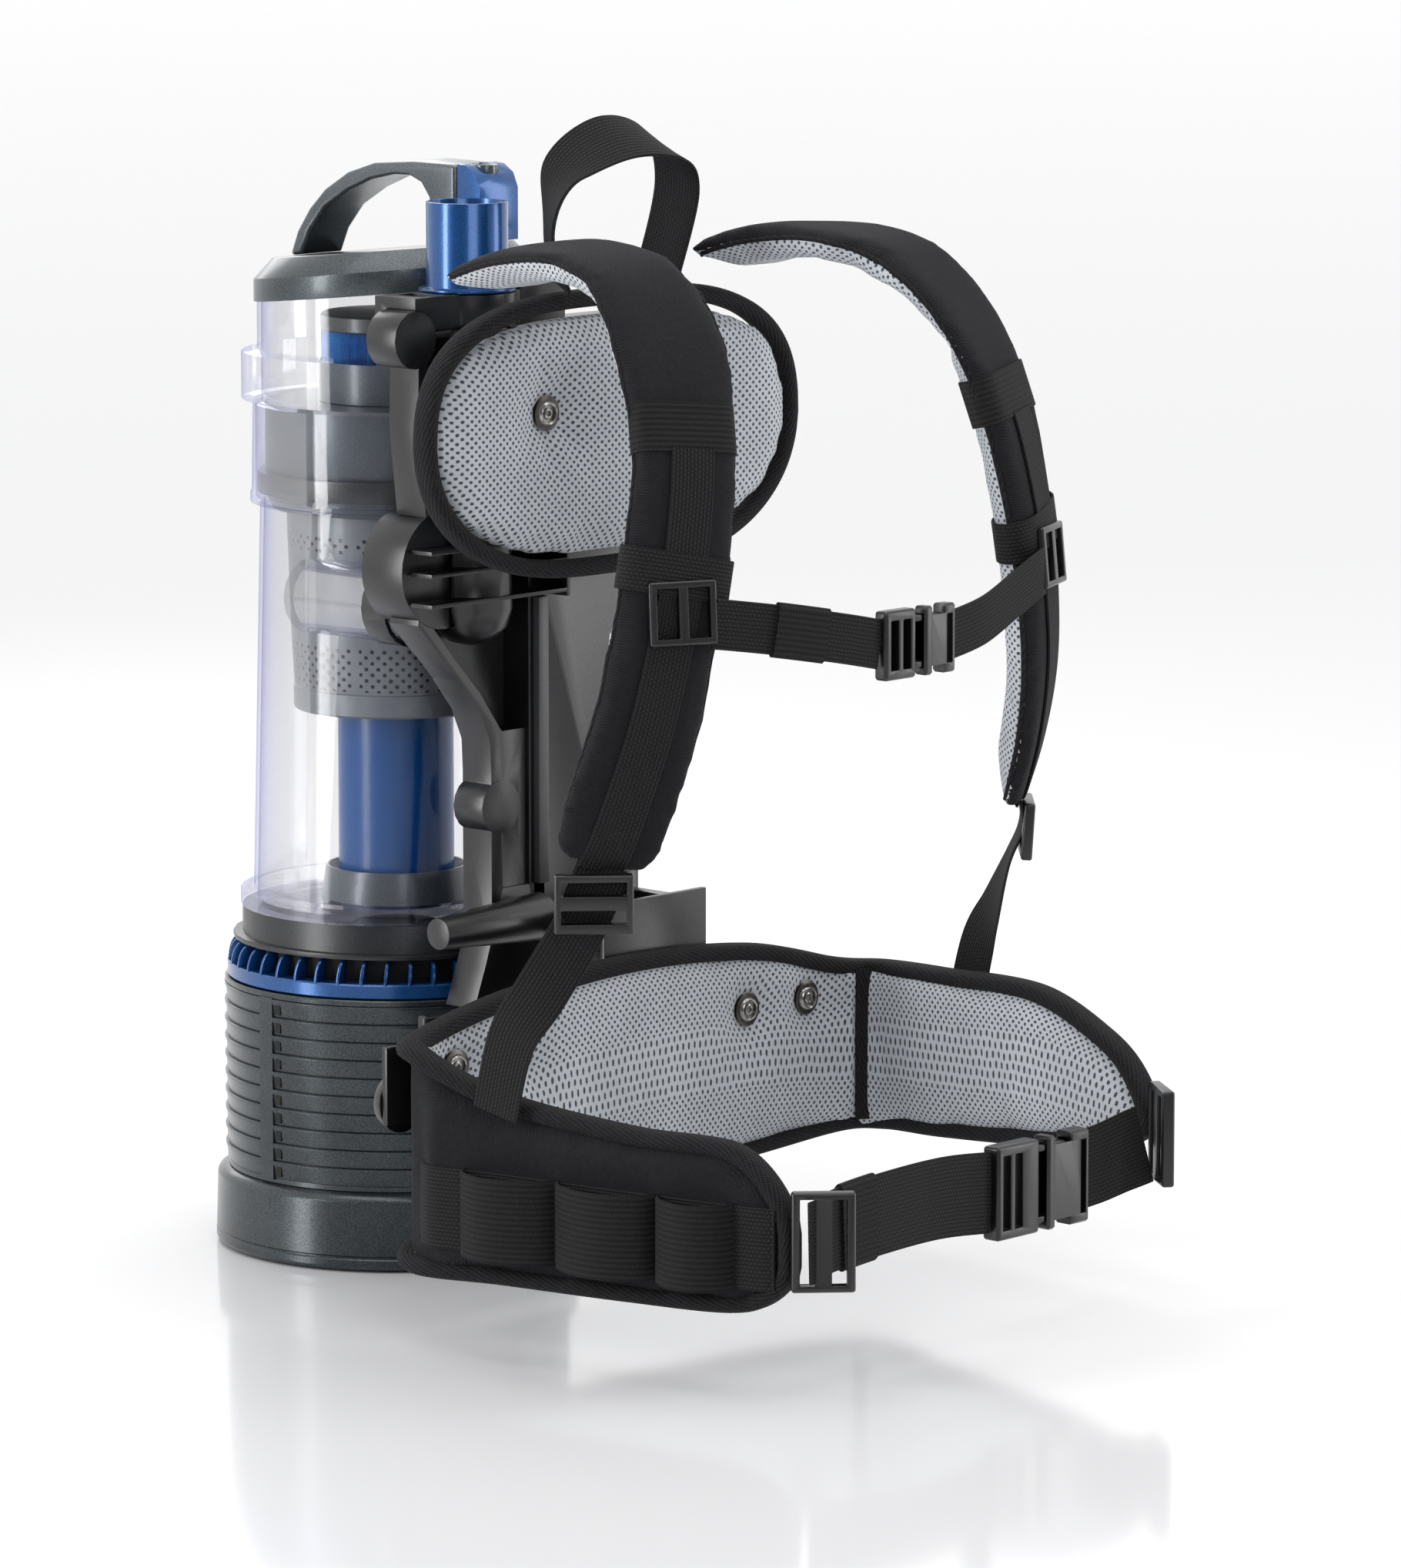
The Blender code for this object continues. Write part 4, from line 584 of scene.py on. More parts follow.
smooth_black = textured_plastic("buckle_plastic", (0.0018, 0.0018, 0.002), (0.0075, 0.0075, 0.0085), 0.30,
                                grain=0.0016, depth=0.00005)
for node in ("belt_knob_right", "belt_knob_left"):
    moulded(node, smooth_black, 0.0010, segments=3)

# Inside the housing: motor, impeller and exhaust filter keep their CAD shapes.
motor_metal, place, shader = finish("motor_steel", Metallic=0.9)
grain = place.noise(300.0, 4.0)
wear(shader, Base_Color=grain.colour((0.20, 0.21, 0.22), (0.38, 0.39, 0.41)), Roughness=grain * 0.2 + 0.28,
     Normal=grain.relief(0.0001, 0.4))
foam, place, shader = finish("filter_foam_black")
cells = place.noise(900.0, 4.0)
wear(shader, Base_Color=cells.colour((0.015, 0.015, 0.016), (0.07, 0.07, 0.075)), Roughness=cells * 0.2 + 0.75,
     Normal=cells.relief(0.0006, 0.8))
for node, made in (("motor_can", motor_metal), ("impeller", shroud_grey), ("exhaust_filter", foam)):
    nodes[node].data.materials.clear()
    nodes[node].data.materials.append(made)

# Upper back pad: a foam plate under light grey spacer mesh, held by two rivets that pull it into dimples.
# Its edge is closed with a woven black binding.
def spacer_mesh(name):
    """Knitted spacer mesh: pale yarn round staggered openings, coloured dark grey as painted shade in their depth.
    """
    made, place, shader = finish(name, "UV", Sheen_Weight=0.15)
    across, up, _ = place.split()
    wobble = place.noise(120.0, 2.0) * 0.0016
    spots = dots(across + wobble, up + wobble, 0.0060, 0.0053)
    # Painted shade: the openings are coloured dark grey for the shade inside them, and the same mask sinks them in
    # the bump.
    painted_opening_shade = spots.clamped(0.34, 0.60)
    yarn = dots(across, up, 0.0013, 0.0013) * 0.5 + 0.5
    cloud = place.noise(18.0, 3.0)
    shade = (yarn * 0.5 + cloud * 0.5).clamped(0.1, 0.9).colour((0.36, 0.385, 0.42), (0.70, 0.73, 0.78))
    wear(shader, Base_Color=painted_opening_shade.over(shade, (0.060, 0.064, 0.072)), Roughness=yarn * 0.1 + 0.75,
         Normal=((1 - painted_opening_shade) + yarn * 0.25).relief(0.0011, 0.9))
    return made


def woven(name, dark, light, pitch, slant=0.0, depth=0.0004):
    """Black yarn in a plain or slanting weave, from the piece's own map."""
    made, place, shader = finish(name, "UV", Sheen_Weight=0.02, Specular_IOR_Level=0.20)
    across, up, _ = place.split()
    rough = place.noise(260.0, 3.0)
    thread = dots(across + up * slant + rough * (pitch * 0.35), up, pitch, pitch) * 0.5 + 0.5
    cloud = place.noise(25.0, 3.0)
    wear(shader, Base_Color=(thread * 0.55 + rough * 0.25 + cloud * 0.2).clamped(0.25, 0.80).colour(dark, light),
         Roughness=thread * 0.10 + 0.80, Normal=(thread + rough * 0.4).relief(depth, 0.9))
    return made


def ribbed(name, dark, light, rib, pick, depth=0.0005):
    """Webbing or elastic: ribs along its length, crossed by fine picks."""
    made, place, shader = finish(name, "UV", Sheen_Weight=0.02, Specular_IOR_Level=0.22)
    across, up, _ = place.split()
    ribs = (across * (math.tau / rib)).cosine() * 0.5 + 0.5
    picks = dots(across, up, rib * 2, pick) * 0.5 + 0.5
    rough = place.noise(300.0, 3.0)
    height = ribs * 0.55 + picks * 0.45
    wear(shader, Base_Color=(height * 0.65 + rough * 0.35).clamped(0.22, 0.85).colour(dark, light),
         Roughness=rough * 0.2 + 0.68, Normal=height.relief(depth, 0.9))
    return made


def smooth_run(rows, count):
    """Evenly numbered points on a smooth line through rows of numbers."""
    made = []
    last = len(rows) - 1
    for k in range(count):
        u = last * k / (count - 1)
        i = min(int(u), last - 1)
        t = u - i
        p = [rows[max(0, min(last, i + d))] for d in (-1, 0, 1, 2)]
        made.append(tuple(0.5 * (2 * b + (c - a) * t + (2 * a - 5 * b + 4 * c - d) * t * t
                                 + (3 * b - a - 3 * c + d) * t ** 3) for a, b, c, d in zip(*p)))
    return made


def along_of(places, loop=False):
    """Direction of a line of points at each of them."""
    count = len(places)
    made = []
    for k in range(count):
        before = places[(k - 1) % count] if loop else places[max(k - 1, 0)]
        after = places[(k + 1) % count] if loop else places[min(k + 1, count - 1)]
        made.append((after - before).normalized())
    return made


def swept(name, stations, section, loop=False, smooth=40):
    """Carry an outline along stations of (place, across, out). A list of outlines gives one for each station."""
    outlines = section if isinstance(section[0][0], tuple) else [section] * len(stations)
    sides, count = len(outlines[0]), len(stations)
    points = [place + across * a + out * b
              for (place, across, out), outline in zip(stations, outlines) for a, b in outline]
    faces, maps = [], []
    girth = [0.0]
    for i in range(sides):
        (a0, b0), (a1, b1) = outlines[0][i], outlines[0][(i + 1) % sides]
        girth.append(girth[-1] + math.hypot(a1 - a0, b1 - b0))
    run = 0.0
    for k in range(count if loop else count - 1):
        n = (k + 1) % count
        ahead = run + (stations[n][0] - stations[k][0]).length
        for i in range(sides):
            j = (i + 1) % sides
            faces.append((k * sides + i, k * sides + j, n * sides + j, n * sides + i))
            maps += [(girth[i], run), (girth[i + 1], run), (girth[i + 1], ahead), (girth[i], ahead)]
        run = ahead
    if not loop:
        for k, turned_over in ((0, True), (count - 1, False)):
            cap = tuple(k * sides + i for i in range(sides))
            faces.append(cap[::-1] if turned_over else cap)
            maps += [outlines[k][i] for i in (range(sides - 1, -1, -1) if turned_over else range(sides))]
    mesh = bpy.data.meshes.new(name)
    mesh.from_pydata([tuple(p) for p in points], [], faces)
    layer = mesh.uv_layers.new(name="cloth")
    for loop_map, uv in zip(layer.data, maps):
        loop_map.uv = uv
    piece = bpy.data.objects.new(name, mesh)
    bpy.context.scene.collection.objects.link(piece)
    deselect()
    bpy.context.view_layer.objects.active = piece
    piece.select_set(True)
    bpy.ops.object.mode_set(mode="EDIT")
    bpy.ops.mesh.select_all(action="SELECT")
    bpy.ops.mesh.normals_make_consistent(inside=False)
    bpy.ops.object.mode_set(mode="OBJECT")
    bpy.ops.object.shade_smooth_by_angle(angle=math.radians(smooth))
    return piece


def oval(half_a, half_b, sides=12, square=0.75):
    """Rounded outline, between an ellipse and a rectangle."""
    made = []
    for i in range(sides):
        c, s = math.cos(math.tau * (i + 0.5) / sides), math.sin(math.tau * (i + 0.5) / sides)
        made.append((math.copysign(abs(c) ** square, c) * half_a, math.copysign(abs(s) ** square, s) * half_b))
    return made


def flat(width, thick):
    """Outline of a strap: flat faces and softened edges."""
    a, b, e = width / 2, thick / 2, thick * 0.35
    half = [(-a + e, -b), (-a * 0.5, -b), (0.0, -b), (a * 0.5, -b), (a - e, -b), (a, -b + e)]
    half += [(a, b - e), (a - e, b), (a * 0.5, b), (0.0, b)]
    return half + [(-a * 0.5, b), (-a + e, b), (-a, b - e), (-a, -b + e)]


def inflated(piece, cell=0.005, pressure=4.0, cap=0.009):
    """Pad a closed shape: remesh it, blow it up as cloth, hold every point to a cap, and smooth the result."""
    deselect()
    bpy.context.view_layer.objects.active = piece
    piece.select_set(True)
    remesh = piece.modifiers.new("remesh", "REMESH")
    remesh.mode = "VOXEL"
    remesh.voxel_size = cell
    bpy.ops.object.modifier_apply(modifier=remesh.name)
    count = len(piece.data.vertices)
    before = np.zeros(count * 3, np.float32)
    piece.data.vertices.foreach_get("co", before)
    cloth = piece.modifiers.new("pressure", "CLOTH")
    cloth.settings.use_pressure = True
    cloth.settings.uniform_pressure_force = pressure
    cloth.settings.effector_weights.gravity = 0.0
    for step in range(1, 21):
        bpy.context.scene.frame_set(step)
    bpy.ops.object.modifier_apply(modifier=cloth.name)
    bpy.context.scene.frame_set(1)
    after = np.zeros(count * 3, np.float32)
    piece.data.vertices.foreach_get("co", after)
    moved = (after - before).reshape(-1, 3)
    length = np.linalg.norm(moved, axis=1, keepdims=True)
    moved *= np.minimum(1.0, cap / np.maximum(length, 1e-9))
    piece.data.vertices.foreach_set("co", (before.reshape(-1, 3) + moved).ravel())
    soften = piece.modifiers.new("soften", "SMOOTH")
    soften.iterations = 4
    bpy.ops.object.modifier_apply(modifier=soften.name)
    finer = piece.modifiers.new("finer", "SUBSURF")
    finer.levels = finer.render_levels = 1
    bpy.ops.object.modifier_apply(modifier=finer.name)
    bpy.ops.object.shade_smooth()
    return piece


air_mesh = spacer_mesh("air_mesh")
binding_black = woven("binding_tape", (0.001, 0.001, 0.0013), (0.026, 0.026, 0.029), 0.0026, 0.6,
                      depth=0.0010)
nylon_black = woven("black_nylon", (0.0018, 0.0018, 0.0026), (0.020, 0.0205, 0.0245), 0.0016, depth=0.0005)
webbing_black = ribbed("black_webbing", (0.001, 0.001, 0.0013), (0.020, 0.020, 0.022), 0.0024, 0.0028,
                       depth=0.0007)
elastic_black = ribbed("black_elastic", (0.001, 0.001, 0.0013), (0.018, 0.018, 0.020), 0.0034, 0.0011,
                       depth=0.0009)

pad_low, pad_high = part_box("upper_pad")
pad_half = (pad_high.x - pad_low.x) / 2
pad_mid_z, pad_rise = (pad_low.z + pad_high.z) / 2, (pad_high.z - pad_low.z) / 2


def pad_outline(count, inset):
    """Edge of the upper pad: wide above and rounded below."""
    made = []
    for i in range(count):
        c, s = math.cos(math.tau * i / count), math.sin(math.tau * i / count)
        x, z = math.copysign(abs(c) ** 0.62, c), math.copysign(abs(s) ** 0.62, s)
        taper = 1.0 - 0.20 * max(0.0, -z) ** 1.6 - 0.10 * max(0.0, z) ** 2
        made.append(Vector(((pad_half - inset) * x * taper, 0, pad_mid_z + (pad_rise - inset) * z)))
    return made


pad_back = pad_high.y - 0.0006
ring = pad_outline(96, 0.006)
upright = Vector((0, 0, 1))
faces_y = (pad_back - 0.0145, pad_back - 0.0020)
upper_pad = swept("upper_pad_foam", [(Vector((0, y, 0)), Vector((1, 0, 0)), upright) for y in faces_y],
                  [(p.x, p.z) for p in ring])
inflated(upper_pad, cap=0.0085)
dimple_y = -0.1915
dimple_r = 0.026
front = pad_back - 0.0085
for vertex in upper_pad.data.vertices:
    x, y, z = vertex.co
    if y < front:
        for side in (-1, 1):
            dx, dz = x - side * rivet_x, z - rivet_z
            near = math.hypot(dx, dz)
            turn = math.atan2(dz, dx)
            pull = math.exp(-(near / dimple_r) ** 2)
            pleat = 0.0010 * math.cos(turn * 7 + side) * math.exp(-((near - dimple_r) / 0.012) ** 2)
            y += (dimple_y - y) * pull * 0.98 + pleat
    vertex.co.y = min(y, pad_back)
layer = upper_pad.data.uv_layers.new(name="cloth")
for loop_corner, loop_map in zip(upper_pad.data.loops, layer.data):
    co = upper_pad.data.vertices[loop_corner.vertex_index].co
    loop_map.uv = (co.x, co.z)
fitted(upper_pad, air_mesh, "upper_pad")
ring = pad_outline(160, 0.0050)
ring = [p + Vector((0, pad_back - 0.0088, 0)) for p in ring]
tape = []
for place_on, along in zip(ring, along_of(ring, loop=True)):
    tape.append((place_on, Vector((0, -1, 0)).cross(along).normalized(), Vector((0, -1, 0))))
binding = swept("upper_pad_binding", tape, oval(0.0056, 0.0080, 14), loop=True, smooth=60)
fitted(binding, binding_black, body="machine", slot="black_fabric")


# Shoulder straps: foam in black nylon outside and grey spacer mesh towards the wearer, piped along both edges.
# An elastic band crosses each one, and a woven strap runs from it down the middle to the adjuster.
def shoulder_run(side, count):
    """Centre line of a strap, from the pad over the shoulder and down the chest, with its width."""
    route = ((0.110, -0.190, 0.6375, 0, 0.080), (0.110, -0.232, 0.650, 2, 0.080),
             (0.113, -0.286, 0.654, 6, 0.081), (0.122, -0.332, 0.640, 10, 0.080),
             (0.134, -0.365, 0.605, 15, 0.079), (0.144, -0.384, 0.552, 19, 0.078),
             (0.155, -0.391, 0.500, 21, 0.078), (0.164, -0.391, 0.457, 24, 0.077),
             (0.175, -0.385, 0.398, 29, 0.076), (0.182, -0.372, 0.350, 34, 0.074), (0.186, -0.354, 0.304, 38, 0.068))
    rows = smooth_run([(side * x, y, z, twist, width) for x, y, z, twist, width in route], count)
    places = [Vector(row[:3]) for row in rows]
    made = []
    for row, place_on, along in zip(rows, places, along_of(places)):
        angle = math.radians(row[3])
        across = Vector((math.cos(angle), side * math.sin(angle), 0))
        across = (across - along * across.dot(along)).normalized()
        out = along.cross(across)
        made.append((place_on, across, -out if out.z - out.y < 0 else out, row[4]))
    return made


def cloth_map(piece, stations):
    """Lay a map in metres on a padded piece, across and along its centre line.

    Returns each face's height above that line, with a little added where the face looks outwards.
    """
    centres = np.array([s[0] for s in stations])
    across = np.array([s[1] for s in stations])
    outs = np.array([s[2] for s in stations])
    along = np.array(along_of([s[0] for s in stations]))
    run = np.concatenate([[0.0], np.cumsum(np.linalg.norm(np.diff(centres, axis=0), axis=1))])
    mesh = piece.data
    co = np.zeros(len(mesh.vertices) * 3)
    mesh.vertices.foreach_get("co", co)
    co = co.reshape(-1, 3)
    near = np.argmin(((co[:, None, :] - centres[None]) ** 2).sum(2), axis=1)
    offset = co - centres[near]
    height = (offset * outs[near]).sum(1)
    u = (offset * across[near]).sum(1)
    u = u + height * np.clip(u / 0.02, -1, 1)
    v = run[near] + (offset * along[near]).sum(1)
    corner = np.zeros(len(mesh.loops), int)
    mesh.loops.foreach_get("vertex_index", corner)
    layer = mesh.uv_layers.new(name="cloth")
    layer.data.foreach_set("uv", np.stack([u[corner], v[corner]], 1).ravel())
    first = np.zeros(len(mesh.polygons), int)
    mesh.polygons.foreach_get("loop_start", first)
    normals = np.zeros(len(mesh.polygons) * 3)
    mesh.polygons.foreach_get("normal", normals)
    facing = (normals.reshape(-1, 3) * outs[near[corner[first]]]).sum(1)
    return (height[corner[first]] + height[corner[first + 2]]) / 2 + facing * 0.004


def two_faced(piece, outside, lining, share, limit):
    """Outer cloth where a face looks outwards, lining elsewhere."""
    piece.data.materials.clear()
    piece.data.materials.append(outside)
    piece.data.materials.append(lining)
    piece.data.polygons.foreach_set("material_index", (share < limit).astype(np.int32))
    piece.data.update()


def skin_of(piece):
    """A padded piece's surface, for laying straps on it."""
    mesh = piece.data
    return BVHTree.FromPolygons([v.co for v in mesh.vertices], [p.vertices for p in mesh.polygons])


def on_surface(tree, place_on, out, lift=0.0):
    """Point of a padded piece's skin beyond a place, going outwards."""
    hit = tree.ray_cast(place_on + out * 0.05, -out, 0.08)[0]
    return (hit if hit else place_on + out * 0.008) + out * lift


def band_round(name, tree, stations_on, at, width, thick, made, lift=0.0008):
    """A band that goes right round a padded strap and lies on its skin."""
    place_on, across, out = stations_on[at][:3]
    along = (stations_on[at + 1][0] - stations_on[at - 1][0]).normalized()
    stations = []
    for k in range(48):
        turn = math.tau * k / 48
        ray = across * math.cos(turn) + out * math.sin(turn) * 0.35
        ray.normalize()
        hit = tree.ray_cast(place_on + ray * 0.09, -ray, 0.12)[0] or place_on + ray * 0.02
        stations.append([hit + ray * lift, along, ray])
    places = [s[0] for s in stations]
    for station, direction in zip(stations, along_of(places, loop=True)):
        station[2] = direction.cross(along).normalized()
        if station[2].dot(station[0] - place_on) < 0:
            station[2].negate()
    band = swept(name, [tuple(s) for s in stations], flat(width, thick), loop=True)
    return fitted(band, made, body="machine", slot="black_webbing")


def strap_stations(rows, count):
    """Stations of a flat strap from rows of its place and the way its width points."""
    rows = smooth_run(rows, count)
    places = [Vector(row[:3]) for row in rows]
    made = []
    for row, place_on, along in zip(rows, places, along_of(places)):
        across = Vector(row[3:])
        across = (across - along * across.dot(along)).normalized()
        made.append((place_on, across, along.cross(across)))
    return made


for side, name in ((-1, "right"), (1, "left")):
    stations = shoulder_run(side, 90)
    sections = []
    for k, station in enumerate(stations):
        tip = min(1.0, (len(stations) - 1 - k) / 8)
        narrow = 1.0 - 0.35 * (1 - math.sqrt(1 - (1 - tip) ** 2)) if tip < 1 else 1.0
        sections.append(tuple(oval(station[3] / 2 * narrow + 0.0008, 0.0062, 24, 0.38)))
    strap = swept(f"shoulder_strap_{name}_foam", [s[:3] for s in stations], sections)
    inflated(strap, cap=0.0060)
    share = cloth_map(strap, stations)
    two_faced(strap, nylon_black, air_mesh, share, 0.0015)
    fitted(strap, None, f"shoulder_strap_{name}")
    skin = skin_of(strap)
    for edge_side, edge_name in ((-1, "inner"), (1, "outer")):
        seam = []
        for place_on, across, out, _ in stations[1:-1]:
            ray = across * edge_side
            level = place_on + out * 0.0012
            hit = skin.ray_cast(level + ray * 0.07, -ray, 0.08)[0]
            if hit:
                seam.append((hit - ray * 0.0003, out, ray))
        seam_name = f"strap_piping_{name}_{edge_name}"
        piping = swept(seam_name, seam, oval(0.0016, 0.0016, 8, 1.0), smooth=60)
        fitted(piping, binding_black, body="machine", slot="black_fabric")
    at_band, at_slider = 43, 58
    band_round(f"strap_band_{name}", skin, stations, at_band, 0.030, 0.0013, elastic_black)
    trail = []
    for place_on, across, out, _ in stations[at_band + 2:]:
        trail.append((on_surface(skin, place_on, out, 0.0012), across, out))
    webbing = swept(f"strap_webbing_{name}", trail, flat(0.028, 0.0016))
    fitted(webbing, webbing_black, body="machine", slot="black_webbing")
    band_round(f"chest_webbing_wrap_{name}", skin, stations, at_slider, 0.026, 0.0014, webbing_black, 0.0022)
    low = [(side * x, y, z, a, side * b, c) for x, y, z, a, b, c in (
        (0.1880, -0.363, 0.306, 0.72, 0.69, 0.00), (0.1960, -0.3590, 0.286, 0.72, 0.69, 0.00),
        (0.1985, -0.347, 0.262, 0.72, 0.69, 0.00), (0.2060, -0.326, 0.226, 0.50, 0.86, 0.05),
        (0.2125, -0.308, 0.196, 0.20, 0.97, 0.10), (0.2140, -0.296, 0.150, 0.12, 0.98, 0.12))]
    webbing = swept(f"lower_webbing_{name}_weave", strap_stations(low, 40), flat(0.033, 0.0018))
    fitted(webbing, webbing_black, f"lower_webbing_{name}")

# Carry loop: one length of stiff webbing that stands in a twisted loop above the pad.
stations = strap_stations(((-0.043, -0.188, 0.629, -0.50, -0.86, 0.0), (-0.055, -0.190, 0.664, -0.60, -0.76, -0.15),
                           (-0.046, -0.194, 0.699, -0.35, -0.80, -0.48), (-0.006, -0.199, 0.718, 0.0, -0.76, -0.64),
                           (0.038, -0.198, 0.711, 0.10, -0.86, -0.48), (0.056, -0.194, 0.684, 0.0, -0.98, -0.16),
                           (0.044, -0.188, 0.629, 0.0, -1.0, 0.0)), 80)
fitted(swept("carry_loop_weave", stations, flat(0.038, 0.0022)), webbing_black, "carry_loop")

# Waist belt: foam between black nylon outside and spacer mesh inside, bound all round with woven tape.
# It curves from the lumbar plate round both hips, and its wings end in rounded tips.
belt_route = ((-0.166, -0.490, 0.056, 0.132), (-0.173, -0.450, 0.046, 0.148), (-0.186, -0.380, 0.044, 0.150),
              (-0.200, -0.290, 0.043, 0.160), (-0.213, -0.232, 0.043, 0.182), (-0.190, -0.2100, 0.048, 0.186),
              (-0.110, -0.2054, 0.056, 0.200), (0.000, -0.2054, 0.060, 0.208), (0.110, -0.2054, 0.064, 0.201),
              (0.190, -0.2100, 0.069, 0.182), (0.213, -0.232, 0.070, 0.180), (0.203, -0.290, 0.074, 0.183),
              (0.192, -0.380, 0.082, 0.184), (0.182, -0.450, 0.092, 0.160), (0.176, -0.484, 0.100, 0.142))
rows = smooth_run(belt_route, 240)
places = [Vector((row[0], row[1], 0)) for row in rows]
length = [0.0]
for a, b in zip(places, places[1:]):
    length.append(length[-1] + (b - a).length)
belt = []
for row, place_on, along, gone in zip(rows, places, along_of(places), length):
    tip = min(gone, length[-1] - gone)
    top_drop = 0.030 * (1 - math.sqrt(max(0.0, 1 - (1 - min(tip / 0.045, 1)) ** 2)))
    foot_rise = 0.016 * (1 - math.sqrt(max(0.0, 1 - (1 - min(tip / 0.030, 1)) ** 2)))
    low, high = row[2] + foot_rise, row[3] - top_drop
    belt.append((Vector((row[0], row[1], (low + high) / 2)), upright, upright.cross(along), (high - low) / 2))
sections = [tuple(oval(s[3] + 0.0002, 0.0052, 32, 0.35)) for s in belt]
belt_pad = swept("waist_belt_foam", [s[:3] for s in belt], sections)
inflated(belt_pad, cap=0.0055)
for vertex in belt_pad.data.vertices:
    x, y, z = vertex.co
    if y > -0.2240 and abs(x) < 0.19:
        for rivet in belt_rivets_x:
            near = math.hypot(abs(x) - rivet, z - belt_rivet_z)
            if y < -0.2054:
                y += (-0.2065 - y) * math.exp(-(near / 0.022) ** 2) * 0.98
        y = min(y, -0.1974)
    vertex.co.y = y
share = cloth_map(belt_pad, belt)
two_faced(belt_pad, nylon_black, air_mesh, share, 0.0)
fitted(belt_pad, None, "waist_belt")
edge_in = 0.0052
edge = [s[0] + upright * (s[3] - edge_in) for s in belt]
edge += [s[0] - upright * (s[3] - edge_in) for s in reversed(belt)]
outs = [s[2] for s in belt] + [s[2] for s in reversed(belt)]
tape = []
for place_on, along, out in zip(edge, along_of(edge, loop=True), outs):
    across = out.cross(along).normalized()
    tape.append((place_on, across, along.cross(across).normalized()))
binding = swept("waist_belt_binding", tape, oval(0.0056, 0.0086, 14), loop=True, smooth=60)
fitted(binding, binding_black, body="machine", slot="black_fabric")
belt_skin = skin_of(belt_pad)
seam_at = min(range(len(belt)), key=lambda k: (belt[k][0] - Vector((0.205, -0.218, 0.12))).length)
place_on, _, out = belt[seam_at][:3]
seam = []
for k in range(24):
    level = Vector((place_on.x, place_on.y, 0.077 + 0.098 * k / 23))
    hit = belt_skin.ray_cast(level - out * 0.05, out, 0.08)[0] or level - out * 0.008
    seam.append((hit - out * 0.0008, upright.cross(out), out))
binding = swept("waist_belt_seam_tape", seam, flat(0.011, 0.0018))
fitted(binding, binding_black, body="machine", slot="black_fabric")

# Tool loops: one elastic band stitched to the right wing at four places, standing off it in three loops.
# A flat strap of webbing lies on the wing behind them.
wing_steps = 40
wing = [Vector(row) for row in smooth_run([(x, y, 0.088) for x, y, _, _ in belt_route[4::-1]], wing_steps + 1)]


def on_wing(u):
    """A place on the right wing, u from 0 at the hip to 1 at the tip, and the way out from the belt."""
    i = min(int(u * wing_steps), wing_steps - 1)
    along = (wing[min(i + 2, wing_steps)] - wing[max(i - 2, 0)]).normalized()
    out = Vector((along.y, -along.x, 0))
    return wing[i].lerp(wing[i + 1], u * wing_steps - i), out if out.x < 0 else -out


loop_count, loop_steps = 3, 14
stations = []
for k in range(loop_count * loop_steps + 1):
    place_on, out = on_wing(0.17 + 0.62 * k / (loop_count * loop_steps))
    rise = 0.0210 * math.sin(math.pi * (k % loop_steps) / loop_steps) ** 0.6
    stations.append([place_on + out * (0.0098 + rise), upright, out])
for station, along in zip(stations, along_of([s[0] for s in stations])):
    station[2] = upright.cross(along) * -1.0
elastic = swept("tool_loops_elastic", [tuple(s) for s in stations], flat(0.0520, 0.0018))
fitted(elastic, elastic_black, "tool_loops")
backing = []
for k in range(50):
    place_on, out = on_wing(0.02 + 0.93 * k / 49)
    backing.append((on_surface(belt_skin, place_on, out, 0.0008), upright, out))
webbing = swept("belt_webbing_right", backing, flat(0.0500, 0.0016))
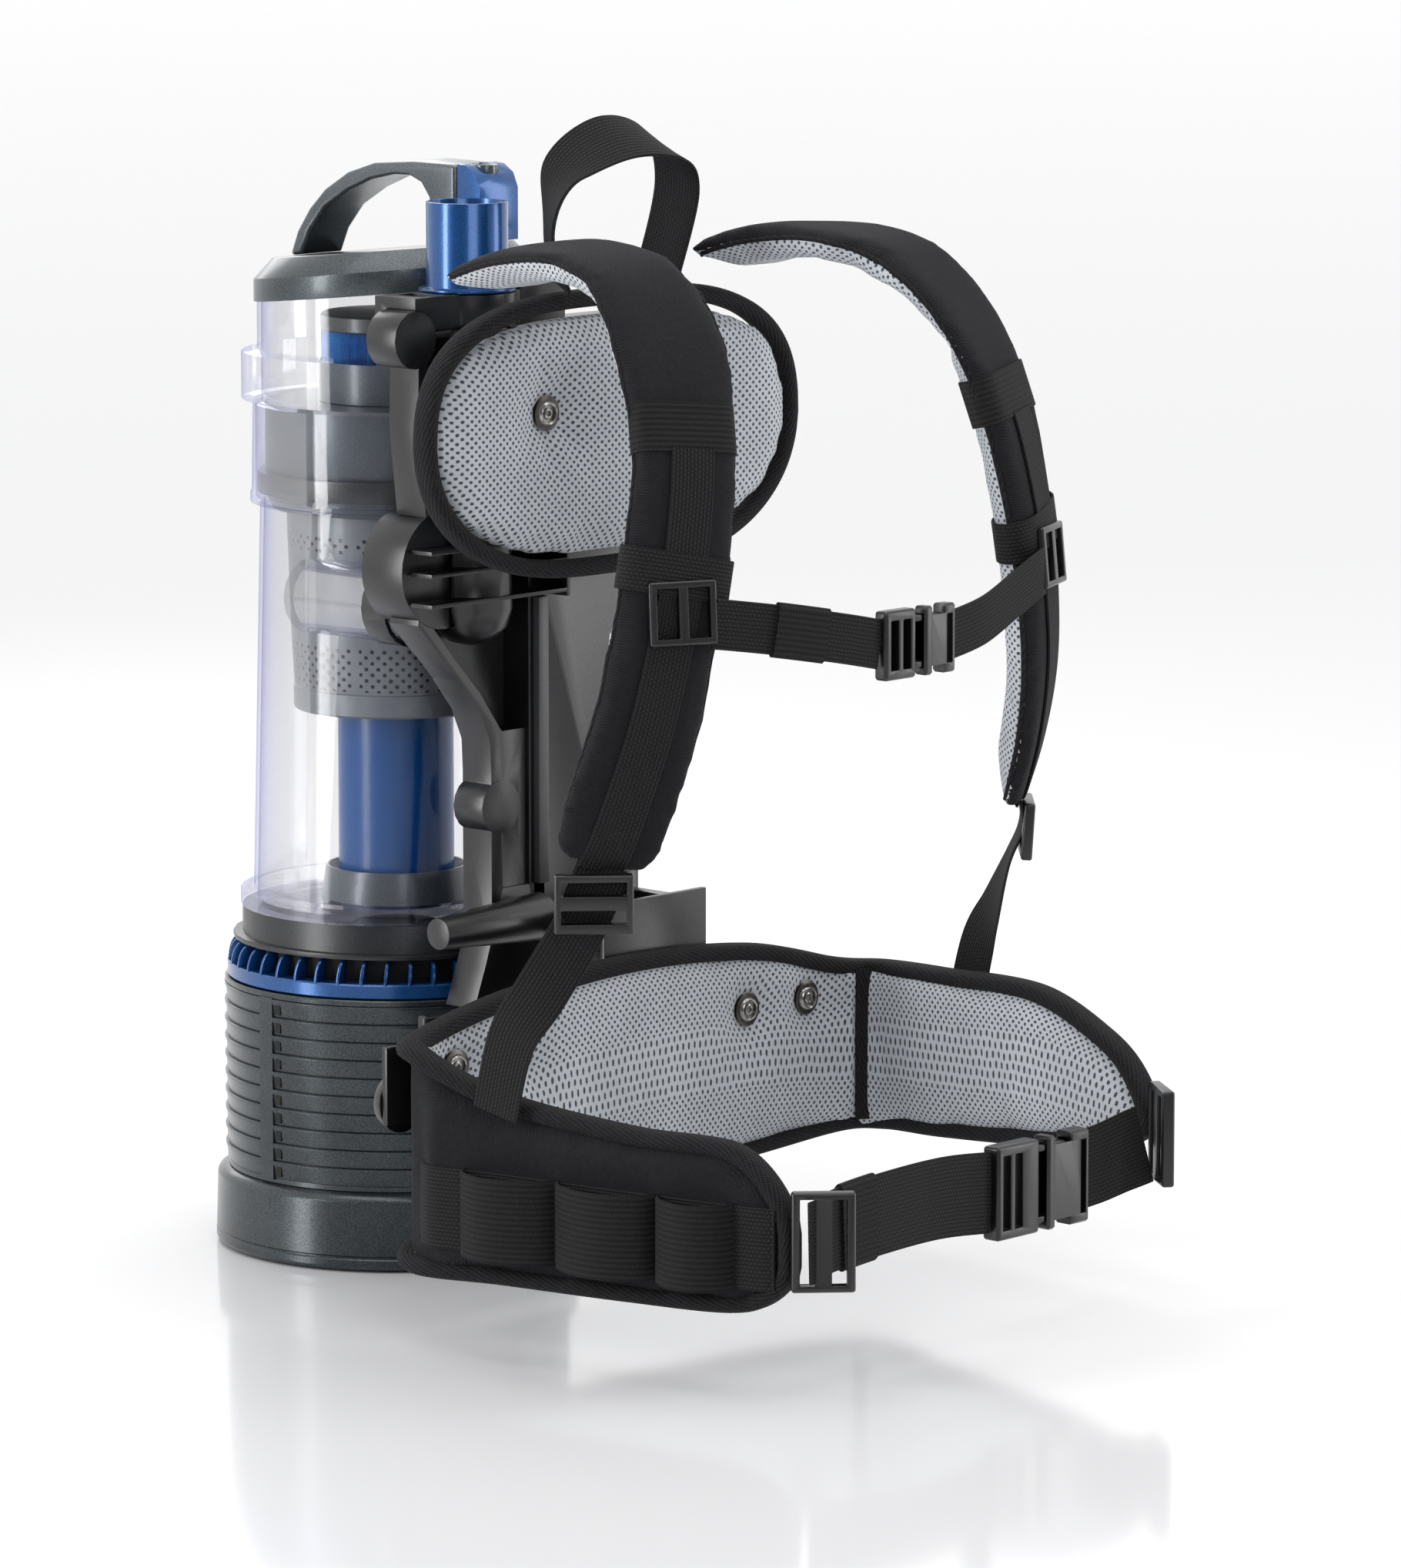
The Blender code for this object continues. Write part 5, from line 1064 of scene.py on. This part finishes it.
fitted(webbing, webbing_black, body="machine", slot="black_webbing")

# Chest strap and waist strap: woven straps between their buckles, sliders and locks, all glass-filled nylon.
chest_width, waist_width = 0.0300, 0.0500
for name, width, route in (
        ("chest_strap_right", chest_width,
         ((-0.150, -0.4150, 0.4500), (-0.139, -0.4190, 0.4485), (-0.105, -0.4290, 0.4430),
          (-0.060, -0.4370, 0.4345), (-0.0300, -0.4390, 0.4282))),
        ("chest_strap_left", chest_width,
         ((0.0340, -0.4390, 0.4275), (0.070, -0.4350, 0.4330), (0.110, -0.4260, 0.4440),
          (0.139, -0.4190, 0.4520), (0.150, -0.4150, 0.4540))),
        ("waist_strap_right", waist_width,
         ((-0.1720, -0.5110, 0.0955), (-0.160, -0.5085, 0.0960), (-0.140, -0.5010, 0.0970),
          (-0.090, -0.4960, 0.0990), (-0.030, -0.4895, 0.0980), (0.0180, -0.4880, 0.0938))),
        ("waist_strap_left", waist_width,
         ((0.1030, -0.4880, 0.0950), (0.1065, -0.4880, 0.0955), (0.1200, -0.4890, 0.0970),
          (0.1380, -0.4920, 0.1010), (0.1520, -0.4970, 0.1050)))):
    places = [Vector(row) for row in smooth_run(route, 40)]
    stations = []
    for place_on, along in zip(places, along_of(places)):
        out = Vector((along.y, -along.x, 0)).normalized()
        across = along.cross(out).normalized()
        stations.append((place_on, across, out))
    fitted(swept(f"{name}_weave", stations, flat(width, 0.0018)), webbing_black, name)
    if name.endswith("right"):
        keeper = stations[18:27] if name.startswith("chest") else stations[17:23]
        ring = swept(f"{name}_keeper", keeper, flat(width + 0.003, 0.0062))
        fitted(ring, elastic_black, body="machine", slot="black_webbing")
for node in ("strap_adjuster_right", "strap_adjuster_left", "chest_slider_right", "chest_slider_left",
             "chest_buckle_male", "chest_buckle_female", "chest_prong_upper", "chest_prong_lower",
             "waist_buckle_male", "waist_buckle_female", "waist_prong_upper", "waist_prong_lower",
             "waist_lock_right", "waist_lock_left"):
    moulded(node, smooth_black, 0.0009, segments=3)
